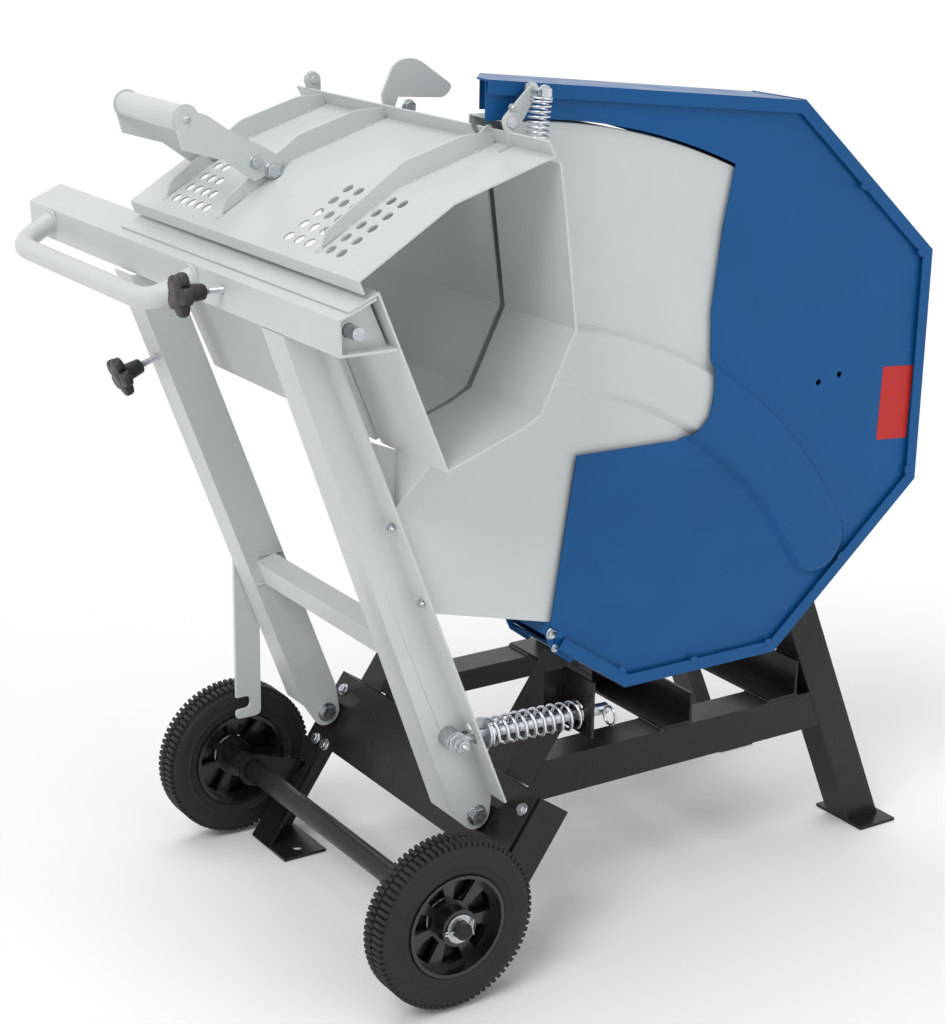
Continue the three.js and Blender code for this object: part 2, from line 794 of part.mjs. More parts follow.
function across(profile, middleX) {
  return profile.map(([radius, x]) => [radius, x + middleX]);
}

function rimSolid(middleX) {
  const windows = [];
  const inner = hubRadius + rimWall;
  const outer = rimOuter - 2 * rimWall;
  const spoke = (2 * Math.PI) / rimWindows;
  for (let window = 0; window < rimWindows; window += 1) {
    const from = window * spoke;
    const to = from + spoke * windowShare;
    const outline = [];
    for (let step = 0; step <= 2; step += 1) {
      const angle = from + ((to - from) * step) / 2;
      outline.push([outer * Math.cos(angle), axleZ + outer * Math.sin(angle)]);
    }
    outline.push([inner * Math.cos(to), axleZ + inner * Math.sin(to)]);
    outline.push([inner * Math.cos(from), axleZ + inner * Math.sin(from)]);
    windows.push(plateAcrossX(outline, middleX - rimWebWall, middleX + rimWebWall));
  }
  return without(turned(across(rimProfile, middleX), 0, axleZ, 28), ...windows);
}

[['near', 1], ['far', -1]].forEach(([end, side]) => {
  const middleX = side * wheelMiddleX;
  const tyre = turned(across(tyreProfile, middleX), 0, axleZ, 36);
  place(frameGroup, `tyre_${end}`, tyre, tyreRubber);
  place(frameGroup, `rim_${end}`, rimSolid(middleX), rimPlastic);
});

function washerAt(side) {
  const inner = side * washerX;
  const outer = side * (washerX + washerWall);
  const ring = plateAcrossX(
    circle(0, axleZ, washerRadius, 24),
    Math.min(inner, outer),
    Math.max(inner, outer),
    [circle(0, axleZ, hubPinRadius + gap, 20)],
  );
  return ring;
}
place(frameGroup, 'wheel_washer_near', washerAt(1), zinc);
place(frameGroup, 'wheel_washer_far', washerAt(-1), zinc);

// Housing: folded rim with a turned-in lip, and two side plates cut out for the swinging trough.
const lipWidth = 15;
const lipWall = 2;
const nearPlateX = 188; // far face of the recessed near plate
const cutClearance = 3; // between the moving guard's arc and the arc of the cut-outs
const cutRadius = guardRadius + cutClearance;
const cutDegrees = 23.7;
const cutStartDegrees = -1.2;
const cutSteps = 14;
const nearCutShares = [
  [0.006, 0.596], [-0.028, 0.311], [-0.015, 0.018], [-0.031, -0.057], [-0.077, -0.108],
  [-0.153, -0.132], [-0.589, -0.126], [-0.681, -0.707],
];
const farCutShares = [[0.037, 0.587], [-0.077, 0.183], [-0.322, -0.027], [-0.721, -0.042], [-0.681, -0.707]];
const bulgeInner = 495; // the raised band clears the blade's nut
const bulgeOuter = 590;
const bulgeRise = 8;
const bulgeWall = 2;
const bulgeEndDegrees = 66;
const labelHoleRadius = 4;
const labelHoleShares = [[0.492, -0.005], [0.592, 0.012]];

const mouthSkew = 52; // how much further back the far corner of the top starts
const [mouthY, mouthZ] = housingOutline[0];
const mouthCut = plateAcrossZ(
  [
    [housingNearX - lipWidth, mouthY - overrun],
    [housingFarX, mouthY + mouthSkew],
    [housingFarX - overrun, mouthY + mouthSkew],
    [housingFarX - overrun, mouthY - overrun],
  ],
  bladeZ,
  mouthZ + overrun,
);
const housingRim = joined(
  without(plateAcrossX(sheet(housingOutline, -housingWall), housingFarX, housingNearX), mouthCut),
  plateAcrossX(sheet(housingOutline, -lipWidth), housingNearX - lipWall, housingNearX),
);
place(frameGroup, 'housing_rim', housingRim, bluePaint);

// Side plate of the housing between two planes, with room in front for the swinging trough.
function housingPlate(cutShares, fromX, toX, holes = []) {
  const inner = shifted(housingOutline, -housingWall - gap);
  const cut = fromBlade(cutShares).reverse();
  const rim = arcAboutPivot(cutRadius, cutDegrees, cutStartDegrees, cutSteps);
  const room = [...cut, ...rim, [-farAway, rim[cutSteps][1]], [-farAway, cut[0][1]]];
  return without(
    plateAcrossX(inner, fromX, toX, holes),
    plateAcrossX(room, fromX - overrun, toX + overrun),
  );
}

// Raised band round the rocker axis, open behind, with a rounded end.
function bulgeBand(inner, outer, fromDegrees, toDegrees, fromX, toX) {
  const steps = 16;
  const middle = (inner + outer) / 2;
  const half = (outer - inner) / 2;
  const cap = [];
  const start = THREE.MathUtils.degToRad(toDegrees);
  const [capY, capZ] = aboutPivot(middle, toDegrees);
  for (let step = 1; step < 8; step += 1) {
    const angle = (Math.PI * step) / 8;
    const along = half * Math.sin(angle);
    const out = half * Math.cos(angle);
    cap.push([
      capY + out * Math.sin(start) + along * Math.cos(start),
      capZ + out * Math.cos(start) - along * Math.sin(start),
    ]);
  }
  const outline = [
    ...arcAboutPivot(outer, fromDegrees, toDegrees, steps),
    ...cap,
    ...arcAboutPivot(inner, toDegrees, fromDegrees, steps),
  ];
  return plateAcrossX(outline, fromX, toX);
}

function bulged(plate, plateX, wall, inner, outer, fromDegrees, toDegrees) {
  const capDegrees = THREE.MathUtils.radToDeg((outer - inner) / 2 / ((outer + inner) / 2));
  const lastDegrees = toDegrees - capDegrees;
  const outside = bulgeBand(inner, outer, fromDegrees, lastDegrees, plateX, plateX + wall + bulgeRise);
  const inside = bulgeBand(
    inner + bulgeWall,
    outer - bulgeWall,
    fromDegrees,
    lastDegrees,
    plateX - overrun,
    plateX + bulgeRise,
  );
  return without(joined(plate, outside), inside);
}

const nearHoles = fromBlade(labelHoleShares).map(([y, z]) => circle(y, z, labelHoleRadius, 12));
const nearFlat = housingPlate(nearCutShares, nearPlateX, nearPlateX + housingWall, nearHoles);
const nearKeep = housingPlate(nearCutShares, nearPlateX - overrun, housingNearX + overrun);
const bulgeStartDegrees = 25;
const nearPlate = bulged(
  nearFlat,
  nearPlateX,
  housingWall,
  bulgeInner,
  bulgeOuter,
  bulgeStartDegrees,
  bulgeEndDegrees,
).intersect(nearKeep);
place(frameGroup, 'housing_near_plate', nearPlate, bluePaint);

const farHole = circle(bladeY, bladeZ, shaftRadius + overrun, 28);
const farPlate = without(
  housingPlate(farCutShares, housingFarX, housingFarX + housingWall, [farHole]),
  mouthCut,
);
place(frameGroup, 'housing_far_plate', farPlate, bluePaint);

// Folded foot bracket under the open front corner of the housing.
const bracketWall = 2;
const bracketShares = [[-0.702, -0.745], [-0.66, -0.803], [-0.58, -0.8575]];
const bracketPath = fromBlade(bracketShares);
const bracket = without(
  plateAcrossX(sheet(bracketPath, bracketWall), housingFarX, housingNearX),
  housingSpace(),
  housingPlate(farCutShares, housingFarX - gap, housingFarX + housingWall + gap),
);
place(frameGroup, 'housing_bracket', bracket, bluePaint);

// Drive: blade between two flanges on the motor's shaft, with a cooling fan at its far end.
const bladeWall = 3;
const bladeTeeth = 44;
const toothDepth = 9;
const toothRootShare = 0.3;
const toothRiseShare = 0.75;
const boreClearance = 0.3;
const flangeRadius = 45;
const innerFlangeWall = 8;
const outerFlangeWall = 7;
const nutWall = 13;
const nutRadius = 21;
const fanBlades = 7;
const fanRadius = 62;
const fanHubRadius = 19;
const fanBladeWall = 3;
const bladeHalf = bladeWall / 2;
const bladeRadius = bladeDiameter / 2;
const boreRadius = shaftRadius + boreClearance;
const innerFlangeFarX = bladeX - bladeHalf - gap - innerFlangeWall;
const outerFlangeFarX = bladeX + bladeHalf + gap;
const nutFarX = outerFlangeFarX + outerFlangeWall + gap;
const fanFarX = fanCoverFarX + fanCoverWall + overrun;
const fanNearX = motorFarX - overrun;

const bladeOutline = [];
const toothAngle = (2 * Math.PI) / bladeTeeth;
for (let tooth = 0; tooth < bladeTeeth; tooth += 1) {
  const tip = tooth * toothAngle;
  const root = tip + toothAngle * toothRootShare;
  const rise = tip + toothAngle * toothRiseShare;
  bladeOutline.push([bladeY + bladeRadius * Math.cos(tip), bladeZ + bladeRadius * Math.sin(tip)]);
  bladeOutline.push([
    bladeY + (bladeRadius - toothDepth) * Math.cos(root),
    bladeZ + (bladeRadius - toothDepth) * Math.sin(root),
  ]);
  bladeOutline.push([
    bladeY + (bladeRadius - toothDepth / 3) * Math.cos(rise),
    bladeZ + (bladeRadius - toothDepth / 3) * Math.sin(rise),
  ]);
}
const bore = circle(bladeY, bladeZ, boreRadius, 28);
const bladeSolid = plateAcrossX(bladeOutline, bladeX - bladeHalf, bladeX + bladeHalf, [bore]);
place(driveGroup, 'saw_blade', bladeSolid, bladeSteel);

function flangeRing(radius, sides, fromX, wall) {
  return plateAcrossX(circle(bladeY, bladeZ, radius, sides), fromX, fromX + wall, [bore]);
}
place(driveGroup, 'inner_flange', flangeRing(flangeRadius, 36, innerFlangeFarX, innerFlangeWall), zinc);
place(driveGroup, 'outer_flange', flangeRing(flangeRadius, 36, outerFlangeFarX, outerFlangeWall), zinc);
place(driveGroup, 'arbor_nut', flangeRing(nutRadius, 6, nutFarX, nutWall), zinc);
const shaft = rodAlongX(fanFarX, nutFarX + nutWall + gap, bladeY, bladeZ, shaftRadius, 28);
place(driveGroup, 'arbor_shaft', shaft, bladeSteel);

const fanParts = [plateAcrossX(circle(bladeY, bladeZ, fanHubRadius, 24), fanFarX, fanNearX, [bore])];
for (let blade = 0; blade < fanBlades; blade += 1) {
  const angle = (2 * Math.PI * blade) / fanBlades;
  const outwards = new THREE.Vector3(0, Math.cos(angle), Math.sin(angle));
  const sideways = outwards.clone().cross(alongX);
  const inner = fanHubRadius - fanBladeWall;
  const section = [
    [-fanBladeWall / 2, inner],
    [fanBladeWall / 2, inner],
    [fanBladeWall / 2, fanRadius],
    [-fanBladeWall / 2, fanRadius],
  ];
  const matrix = new THREE.Matrix4().makeBasis(sideways, outwards, alongX.clone());
  matrix.setPosition(fanFarX, bladeY, bladeZ);
  fanParts.push(solidOf(prism(section, [], fanNearX - fanFarX).applyMatrix4(matrix)));
}
place(driveGroup, 'motor_fan', joined(...fanParts), boxPlastic);

// Rocker: front beam with the log trough welded behind it.
const beamWall = 3;
const troughWall = 2.5;
const beamShares = [[-0.274, 0.913], [-0.375, 0.913], [-0.378, 0.972], [-0.312, 1]];
const troughShares = [
  [-0.36, 0.98], [-0.309, 1.0025], [-0.183, 0.706], [-0.045, 0.755], [-0.006, 0.775], [0.06, 0.909],
  [0.033, 1.105], [0.021, 1.178],
];
const bladeSlotHalf = 6; // half the blade slot through the trough and the lid
const slotTopShare = 0.86; // upper end of the slot in the front wall
const slotFrontShare = -0.255;
const guideWall = 6;
const stopRodRadius = 7;
const stopRodShares = [-0.345, 0.948];
const stopRodFarX = -60;
const stopRodNearX = 288;
const rodClearance = 0.4;
const knobStemRadius = 4;
const stopKnobX = 35;
const guideNearX = 262;
const guideShares = [[-0.277, 0.915], [-0.373, 0.915], [-0.377, 0.971], [-0.3135, 0.997]];

const beamPath = fromPivot(beamShares);
const troughPath = fromPivot(troughShares);
const [[stopRodY, stopRodZ]] = fromPivot([stopRodShares]);
const farawayHalf = farAway / 2;
const knobHole = rod(
  new THREE.Vector3(stopKnobX, -farawayHalf, stopRodZ),
  new THREE.Vector3(stopKnobX, stopRodY, stopRodZ),
  knobStemRadius + rodClearance,
  14,
);
const stopRodHole = rodAlongX(-farawayHalf, farawayHalf, stopRodY, stopRodZ, stopRodRadius + rodClearance, 20);
const guideOutline = fromPivot(guideShares);
const guides = [stopKnobX - 2 * guideWall, stopKnobX + guideWall, guideNearX].map((x) => without(
  plateAcrossX(guideOutline, x, x + guideWall),
  stopRodHole,
));
const beamSolid = without(
  joined(plateAcrossX(sheet(beamPath, -beamWall), beamFarX, troughNearX), ...guides),
  knobHole,
);
place(rockerGroup, 'rocker_beam', beamSolid, greyPaint);

const stopRod = rodAlongX(stopRodFarX, stopRodNearX, stopRodY, stopRodZ, stopRodRadius, 20);
place(rockerGroup, 'stop_rod', stopRod, zinc);

// Lid hinge: two lugs on the trough with pins through the lid's ears.
const hingeShares = [0.005, 1.228];
const [[hingeY, hingeZ]] = fromPivot([hingeShares]);
const hingeLugWall = 4;
const hingeLugRadius = 10;
const hingePinRadius = 4;
const hingeEarNearX = 203; // far face of the lid's near ear
const hingeEarWall = 3;
const hingeEarFarX = -215;
const hingeLugFootShares = [[0.03, 1.128], [0.0225, 1.178]];
const pinHead = 3;

function hingeLug(farX, pinToX, seat = []) {
  const foot = fromPivot(hingeLugFootShares);
  const lug = plateAcrossX(
    wrapped([...circle(hingeY, hingeZ, hingeLugRadius, 20), ...foot, ...seat]),
    farX,
    farX + hingeLugWall,
  );
  const pin = rodAlongX(Math.min(farX, pinToX), Math.max(farX, pinToX), hingeY, hingeZ, hingePinRadius, 16);
  return joined(lug, pin);
}
const nearLugX = hingeEarNearX + hingeEarWall + gap;
const lidSpringRadius = 11;
const lidSpringWire = 1;
const lidSpringTurns = 10;
const lidSpringPinRadius = 4;
const lidSpringX = nearLugX + hingeLugWall + 2 * gap + lidSpringRadius + lidSpringWire;
const lidSpringAnchorShares = [0.036, 1.187];
const [[anchorY, anchorZ]] = fromPivot([lidSpringAnchorShares]);
const anchorSeat = circle(anchorY, anchorZ, 2 * lidSpringPinRadius, 16);

function lidSpringPin(fromX, y, z) {
  const toX = lidSpringX + lidSpringWire + lidSpringPinRadius;
  return rodAlongX(fromX, toX, y, z, lidSpringPinRadius, 16);
}
const farLugX = hingeEarFarX - gap - hingeLugWall;

const gussetWall = 3;
const gussetReach = 70;
const gussetHeight = 66;
const gussetHoleRadius = 4;
const gussetShares = [[-0.182, 0.708], [-0.186, 0.606]];
const guardNearX = 182; // far face of the near guard plate
const guardWall = 2;
const gussetFarX = guardNearX + guardWall + gap;
const [gussetTop, gussetFoot] = fromPivot(gussetShares).map(([y, z]) => new THREE.Vector3(0, y, z));
const gussetDown = gussetFoot.clone().sub(gussetTop).normalize();
const gussetNormal = alongX.clone().cross(gussetDown);
const gussetMatrix = new THREE.Matrix4().makeBasis(alongX, gussetDown, gussetNormal);
gussetMatrix.setPosition(gussetFarX, gussetTop.y, gussetTop.z);
const gusset = solidOf(prism(
  [[0, -gussetWall / 2], [gussetReach, -gussetWall / 2], [0, gussetHeight]],
  [circle(gussetReach / 4, gussetHeight / 4, gussetHoleRadius, 14)],
  gussetWall,
).applyMatrix4(gussetMatrix));

const slotTop = pivotZ + slotTopShare * rockerHeight;
const slotFront = pivotY + slotFrontShare * rockerHeight;
const slotTool = block(
  bladeX - bladeSlotHalf,
  bladeX + bladeSlotHalf,
  slotFront,
  farawayHalf,
  0,
  slotTop,
);
const rearSlotTool = block(bladeX - bladeSlotHalf, bladeX + bladeSlotHalf, pivotY, farawayHalf, 0, farawayHalf);
const troughSolid = joined(
  without(plateAcrossX(sheet(troughPath, troughWall), troughFarX, troughNearX), slotTool, rearSlotTool),
  gusset,
  hingeLug(nearLugX, hingeEarNearX - pinHead, anchorSeat),
  lidSpringPin(nearLugX, anchorY, anchorZ),
  hingeLug(farLugX, hingeEarFarX + hingeEarWall + pinHead),
);
place(rockerGroup, 'trough', troughSolid, greyPaint);

// Rocker legs, drawn along the line from the rocker axis to the beam.
const legTopShares = [-0.346, 0.912];
const farLegHalf = 25;
const nearLegFootHalf = 28;
const nearLegTopHalf = 18;
const farFlange = 46;
const nearFlangeFar = 45;
const nearFlangeNear = 35;
const legFootRadius = 19;
const flangeStart = 14; // above the rocker axis
const farFlangeStart = 24;
const [legTopPoint] = fromPivot([legTopShares]);
const legUp = new THREE.Vector3(0, legTopPoint[0] - pivotY, legTopPoint[1] - pivotZ);
const legLength = legUp.length();
legUp.normalize();
const legBack = new THREE.Vector3(0, legUp.z, -legUp.y);

function onLeg(up, back) {
  const point = pivotPoint.clone().addScaledVector(legUp, up).addScaledVector(legBack, back);
  return [point.y, point.z];
}

function nearHalfAt(up) {
  return nearLegFootHalf + ((nearLegTopHalf - nearLegFootHalf) * up) / legLength;
}

const beamUnderZ = beamPath[1][1] - gap;
const aboveLegs = () => block(-farAway, farAway, -farAway, farAway, beamUnderZ - gap, farAway);
const troughRoom = () => {
  const outside = shifted(troughPath, -gap);
  const closing = [[farAway, outside[7][1]], [farAway, farAway], [outside[0][0], farAway]];
  return plateAcrossX([...outside, ...closing], troughFarX - overrun, troughNearX + overrun);
};
const overLength = legLength + angleWidth;
const boltHole = rodAlongX(-farAway, farAway, pivotY, pivotZ, pivotBoltRadius + boltClearance, 20);

const hookLeverUp = 244; // rocker axis to the hook's bolt, along the leg
const hookStudRadius = 9;
const hookBoltRadius = 5;
const hookWall = 5;
const hookNearX = -233; // near face of the hook strap
const hookHeadRadius = 9;
const hookHeadWall = 3;
const [hookY, hookZ] = onLeg(hookLeverUp, 0);

const foot = circle(pivotY, pivotZ, legFootRadius, 28);
const farWeb = wrapped([
  ...foot,
  onLeg(farFlangeStart, farLegHalf),
  onLeg(farFlangeStart, -farLegHalf),
  onLeg(overLength, -farLegHalf),
  onLeg(overLength, farLegHalf),
]);

function legStrip(fromUp, fromBack, toUp, toBack, wall) {
  return [
    onLeg(fromUp, fromBack),
    onLeg(toUp, toBack),
    onLeg(toUp, toBack + wall),
    onLeg(fromUp, fromBack + wall),
  ];
}
const farStrips = [-farLegHalf, farLegHalf - legWall].map((back) => plateAcrossX(
  legStrip(farFlangeStart, back, overLength, back, legWall),
  legFarX - farFlange,
  legFarX,
));
const hookStud = joined(
  rodAlongX(hookNearX + gap, legFarX, hookY, hookZ, hookStudRadius, 20),
  rodAlongX(hookNearX - hookWall - gap - hookHeadWall, hookNearX + gap, hookY, hookZ, hookBoltRadius, 16),
  rodAlongX(hookNearX - hookWall - gap - hookHeadWall, hookNearX - hookWall - gap, hookY, hookZ, hookHeadRadius, 6),
);
const hookKnobDown = 102; // below the top of the leg
const hookKnobUp = legLength - hookKnobDown;
const hookKnobX = -207;
const farLegBolt = rod(
  new THREE.Vector3(hookKnobX, ...onLeg(hookKnobUp, -farLegHalf - overrun)),
  new THREE.Vector3(hookKnobX, ...onLeg(hookKnobUp, -farLegHalf + overrun)),
  knobStemRadius + rodClearance,
  14,
);
const farLeg = without(
  joined(plateAcrossX(farWeb, legFarX - legWall, legFarX), ...farStrips, hookStud),
  boltHole,
  aboveLegs(),
  farLegBolt,
);
place(rockerGroup, 'rocker_leg_far', farLeg, greyPaint);

const nearWeb = wrapped([
  ...foot,
  onLeg(flangeStart, nearHalfAt(0)),
  onLeg(flangeStart, -nearHalfAt(0)),
  onLeg(overLength, -nearHalfAt(overLength)),
  onLeg(overLength, nearHalfAt(overLength)),
]);
const nearStrips = [
  plateAcrossX(
    legStrip(flangeStart, -nearHalfAt(0), overLength, -nearHalfAt(overLength), legWall),
    legNearX - nearFlangeFar,
    legNearX + legWall,
  ),
  plateAcrossX(
    legStrip(flangeStart, nearHalfAt(0) - legWall, overLength, nearHalfAt(overLength) - legWall, legWall),
    legNearX,
    legNearX + nearFlangeNear,
  ),
];

// Return spring unit: a rod hinged on the near leg slides through a bracket on the strut.
const springUp = 115; // rocker axis to the rod's bolt, along the leg
const springX = 180;
const springRodRadius = 7;
const springBoltRadius = 6;
const springEyeRadius = 12;
const springEyeHalf = 8;
const springRodLength = 214;
const springRodDrop = 2; // degrees below level at rest
const rodSlotHalf = 15;
const rodSlotMiddle = 108;
const springCoilRadius = 16;
const springWireRadius = 2;
const springTurns = 11;
const collarRadius = 19;
const collarWall = 3;
const collarAt = 39; // from the rod's bolt
const ringPinAt = 203;
const ringPinShare = 1.6; // half the pin's length, as a share of the rod's radius
const ringPinRadius = 1.75;
const ringRadius = 11;
const springBracketWall = 4;
const springBracketY = 228;
const springBracketHeight = 70;
const springBracketReach = 56;
const springBracketFoot = 32;
const rodPlay = 4; // clearance round the rod in the bracket
const [springBoltY, springBoltZ] = onLeg(springUp, 0);
const springDrop = THREE.MathUtils.degToRad(springRodDrop);
const rodAlong = new THREE.Vector3(0, Math.cos(springDrop), -Math.sin(springDrop));
const springBoltPoint = new THREE.Vector3(springX, springBoltY, springBoltZ);

function onRod(distance) {
  return springBoltPoint.clone().addScaledVector(rodAlong, distance);
}

const rodSlot = joined(
  ...[rodSlotMiddle - rodSlotHalf / 2, rodSlotMiddle + rodSlotHalf / 2].map((up) => rod(
    new THREE.Vector3(springX, ...onLeg(up, farLegHalf / 2)),
    new THREE.Vector3(springX, ...onLeg(up, farLegHalf + farLegHalf / 2)),
    springRodRadius + boltClearance + gap,
    20,
  )),
);
const rodSlotBlock = plateAcrossX(
  legStrip(
    rodSlotMiddle - rodSlotHalf / 2,
    farLegHalf / 2,
    rodSlotMiddle + rodSlotHalf / 2,
    farLegHalf / 2,
    farLegHalf,
  ),
  springX - springRodRadius - boltClearance - gap,
  springX + springRodRadius + boltClearance + gap,
);
const springBoltFarX = legNearX + legWall;
const springBolt = joined(
  rodAlongX(legNearX, springX + springEyeHalf + gap + pinHead, springBoltY, springBoltZ, springBoltRadius, 20),
  rodAlongX(
    springX + springEyeHalf + gap,
    springX + springEyeHalf + gap + pinHead,
    springBoltY,
    springBoltZ,
    springBoltRadius * headShare,
    6,
  ),
);
const nearLeg = joined(
  without(
    joined(plateAcrossX(nearWeb, legNearX, legNearX + legWall), ...nearStrips),
    boltHole,
    aboveLegs(),
    troughRoom(),
    rodSlot,
    rodSlotBlock,
  ),
  springBolt,
);
place(rockerGroup, 'rocker_leg_near', nearLeg, greyPaint);

const eyeBore = rodAlongX(-farAway, farAway, springBoltY, springBoltZ, springBoltRadius + boltClearance, 20);
const ringPinHole = rod(
  onRod(ringPinAt).addScaledVector(alongX, -springEyeRadius * 2),
  onRod(ringPinAt).addScaledVector(alongX, springEyeRadius * 2),
  ringPinRadius + gap,
  12,
);
const springRod = without(
  joined(
    rodAlongX(springBoltFarX + gap, springX + springEyeHalf, springBoltY, springBoltZ, springEyeRadius, 20),
    rod(onRod(springBoltRadius + pinHead), onRod(springRodLength), springRodRadius, 14),
    rod(onRod(collarAt), onRod(collarAt + collarWall), collarRadius, 20),
  ),
  eyeBore,
  ringPinHole,
);
place(rockerGroup, 'spring_rod', springRod, zinc);

const pinDown = rod(
  onRod(ringPinAt).addScaledVector(alongX, -springRodRadius * ringPinShare),
  onRod(ringPinAt).addScaledVector(alongX, springRodRadius * ringPinShare),
  ringPinRadius,
  12,
);
const ringShape = new THREE.TorusGeometry(ringRadius, ringPinRadius, 6, 18);
ringShape.rotateX(Math.PI / 2);
const ringMiddle = onRod(ringPinAt).addScaledVector(alongX, springRodRadius * ringPinShare + ringRadius);
ringShape.translate(ringMiddle.x, ringMiddle.y, ringMiddle.z);
place(rockerGroup, 'ring_pin', joined(pinDown, solidOf(ringShape)), zinc);

// Bracket on the near strut; its upright plate takes the rod's free end.
const bracketFarX = frameNearX + gap;
const rodAtBracket = springBoltPoint.clone()
  .addScaledVector(rodAlong, (springBracketY - springBoltY) / rodAlong.y);
const bracketLowZ = rodAtBracket.z - springBracketHeight / 3;
const springBracket = without(
  joined(
    block(
      bracketFarX,
      bracketFarX + springBracketWall,
      springBracketY - springBracketFoot,
      springBracketY + springBracketWall,
      bracketLowZ,
      bracketLowZ + springBracketHeight,
    ),
    block(
      bracketFarX,
      bracketFarX + springBracketReach,
      springBracketY,
      springBracketY + springBracketWall,
      bracketLowZ,
      bracketLowZ + springBracketHeight,
    ),
  ),
  rod(
    rodAtBracket.clone().addScaledVector(alongY, -overrun),
    rodAtBracket.clone().addScaledVector(alongY, 2 * overrun),
    springRodRadius + rodPlay,
    24,
  ),
);
place(frameGroup, 'spring_bracket', springBracket, blackPaint);

// Unbroken helix with closed ends, eight steps to a turn, five sides to the wire.
function coil(from, along, across, coilRadius, wireRadius, length, turns, endTurns) {
  const steps = turns * 8;
  const sides = 5;
  const third = along.clone().cross(across).normalize();
  const points = [];
  const pitchAt = (turn) => {
    const pitchEnd = 2 * wireRadius + 2 * gap;
    const ends = Math.min(turn, endTurns) + Math.max(0, turn - (turns - endTurns));
    const free = Math.max(0, Math.min(turn, turns - endTurns) - endTurns);
    const rest = (length - 2 * wireRadius - 2 * endTurns * pitchEnd) / (turns - 2 * endTurns);
    return ends * pitchEnd + free * rest;
  };
  const centres = [];
  for (let step = 0; step <= steps; step += 1) {
    const turn = step / 8;
    const angle = 2 * Math.PI * turn;
    centres.push(from.clone()
      .addScaledVector(along, wireRadius + pitchAt(turn))
      .addScaledVector(across, coilRadius * Math.cos(angle))
      .addScaledVector(third, coilRadius * Math.sin(angle)));
  }
  const corners = [];
  centres.forEach((centre, index) => {
    const ahead = centres[Math.min(index + 1, steps)].clone();
    const tangent = ahead.sub(centres[Math.max(index - 1, 0)]).normalize();
    const angle = (2 * Math.PI * index) / 8;
    const out = across.clone().multiplyScalar(Math.cos(angle)).addScaledVector(third, Math.sin(angle));
    const side = tangent.clone().cross(out).normalize();
    const outer = side.clone().cross(tangent).normalize();
    for (let corner = 0; corner < sides; corner += 1) {
      const turn = (2 * Math.PI * corner) / sides;
      const point = centre.clone()
        .addScaledVector(outer, wireRadius * Math.cos(turn))
        .addScaledVector(side, wireRadius * Math.sin(turn));
      corners.push(point.x, point.y, point.z);
      points.push(point);
    }
  });
  const triangles = [];
  for (let step = 0; step < steps; step += 1) {
    for (let corner = 0; corner < sides; corner += 1) {
      const next = (corner + 1) % sides;
      const a = step * sides + corner;
      const b = step * sides + next;
      triangles.push(a, b + sides, a + sides, a, b, b + sides);
    }
  }
  for (let corner = 1; corner < sides - 1; corner += 1) {
    const last = steps * sides;
    triangles.push(0, corner + 1, corner, last, last + corner, last + corner + 1);
  }
  const geometry = new THREE.BufferGeometry();
  geometry.setAttribute('position', new THREE.BufferAttribute(new Float32Array(corners), 3));
  geometry.setIndex(triangles);
  let least = Infinity;
  for (let first = 0; first <= steps; first += 1) {
    for (let second = first + 5; second <= steps; second += 1) {
      for (let corner = 0; corner < sides * sides; corner += 1) {
        const one = points[first * sides + (corner % sides)];
        const other = points[second * sides + Math.floor(corner / sides)];
        least = Math.min(least, one.distanceTo(other));
      }
    }
  }
  return { geometry, least };
}

const springEndTurns = 1;
const springFrom = onRod(collarAt + collarWall + gap);
const springLength = (springBracketY - springBoltY) / rodAlong.y - collarAt - collarWall - 3 * gap;
const returnCoil = coil(
  springFrom,
  rodAlong,
  alongX,
  springCoilRadius,
  springWireRadius,
  springLength,
  springTurns,
  springEndTurns,
);
console.log(`return_spring least gap to itself ${returnCoil.least.toFixed(2)} mm`);
place(rockerGroup, 'return_spring', solidOf(returnCoil.geometry), chrome);

// Brace between the rocker's legs.
const braceUp = 224;
const braceHalfHeight = 16;
const braceHalfDepth = 13;
const bracePath = [
  onLeg(braceUp - braceHalfHeight, braceHalfDepth),
  onLeg(braceUp - braceHalfHeight, -braceHalfDepth),
  onLeg(braceUp + braceHalfHeight, -braceHalfDepth),
  onLeg(braceUp + braceHalfHeight, braceHalfDepth),
];
const brace = plateAcrossX(sheet(bracePath, -legWall), legFarX + gap, legNearX - gap);
place(rockerGroup, 'leg_brace', brace, greyPaint);

// Push handle: bent tube on the front face of the beam.
const handleRadius = 12.5;
const handleFarX = -428;
const handleNearX = -36;
const handleReach = 48; // from the beam's face to the middle of the grip
const handleDrop = 24;
const handleRootShares = [-0.3777, 0.949];
const handleBend = 44;
const handleSteps = 32;
const [[handleRootY, handleRootZ]] = fromPivot([handleRootShares]);

// Route through some corners, each rounded to about the given radius.
function roundedRoute(corners, radius) {
  const route = new THREE.CurvePath();
  let start = corners[0];
  for (let index = 1; index < corners.length - 1; index += 1) {
    const corner = corners[index];
    const back = corners[index - 1].clone().sub(corner).normalize();
    const ahead = corners[index + 1].clone().sub(corner).normalize();
    const before = corner.clone().addScaledVector(back, radius);
    const after = corner.clone().addScaledVector(ahead, radius);
    route.add(new THREE.LineCurve3(start, before));
    route.add(new THREE.QuadraticBezierCurve3(before, corner, after));
    start = after;
  }
  route.add(new THREE.LineCurve3(start, corners[corners.length - 1]));
  return route;
}
const handleRootFaceY = handleRootY - gap;
const handleRoute = roundedRoute([
  new THREE.Vector3(handleFarX, handleRootFaceY, handleRootZ),
  new THREE.Vector3(handleFarX, handleRootFaceY - handleReach, handleRootZ - handleDrop),
  new THREE.Vector3(handleNearX, handleRootFaceY - handleReach, handleRootZ - handleDrop),
  new THREE.Vector3(handleNearX, handleRootFaceY, handleRootZ),
], handleBend);
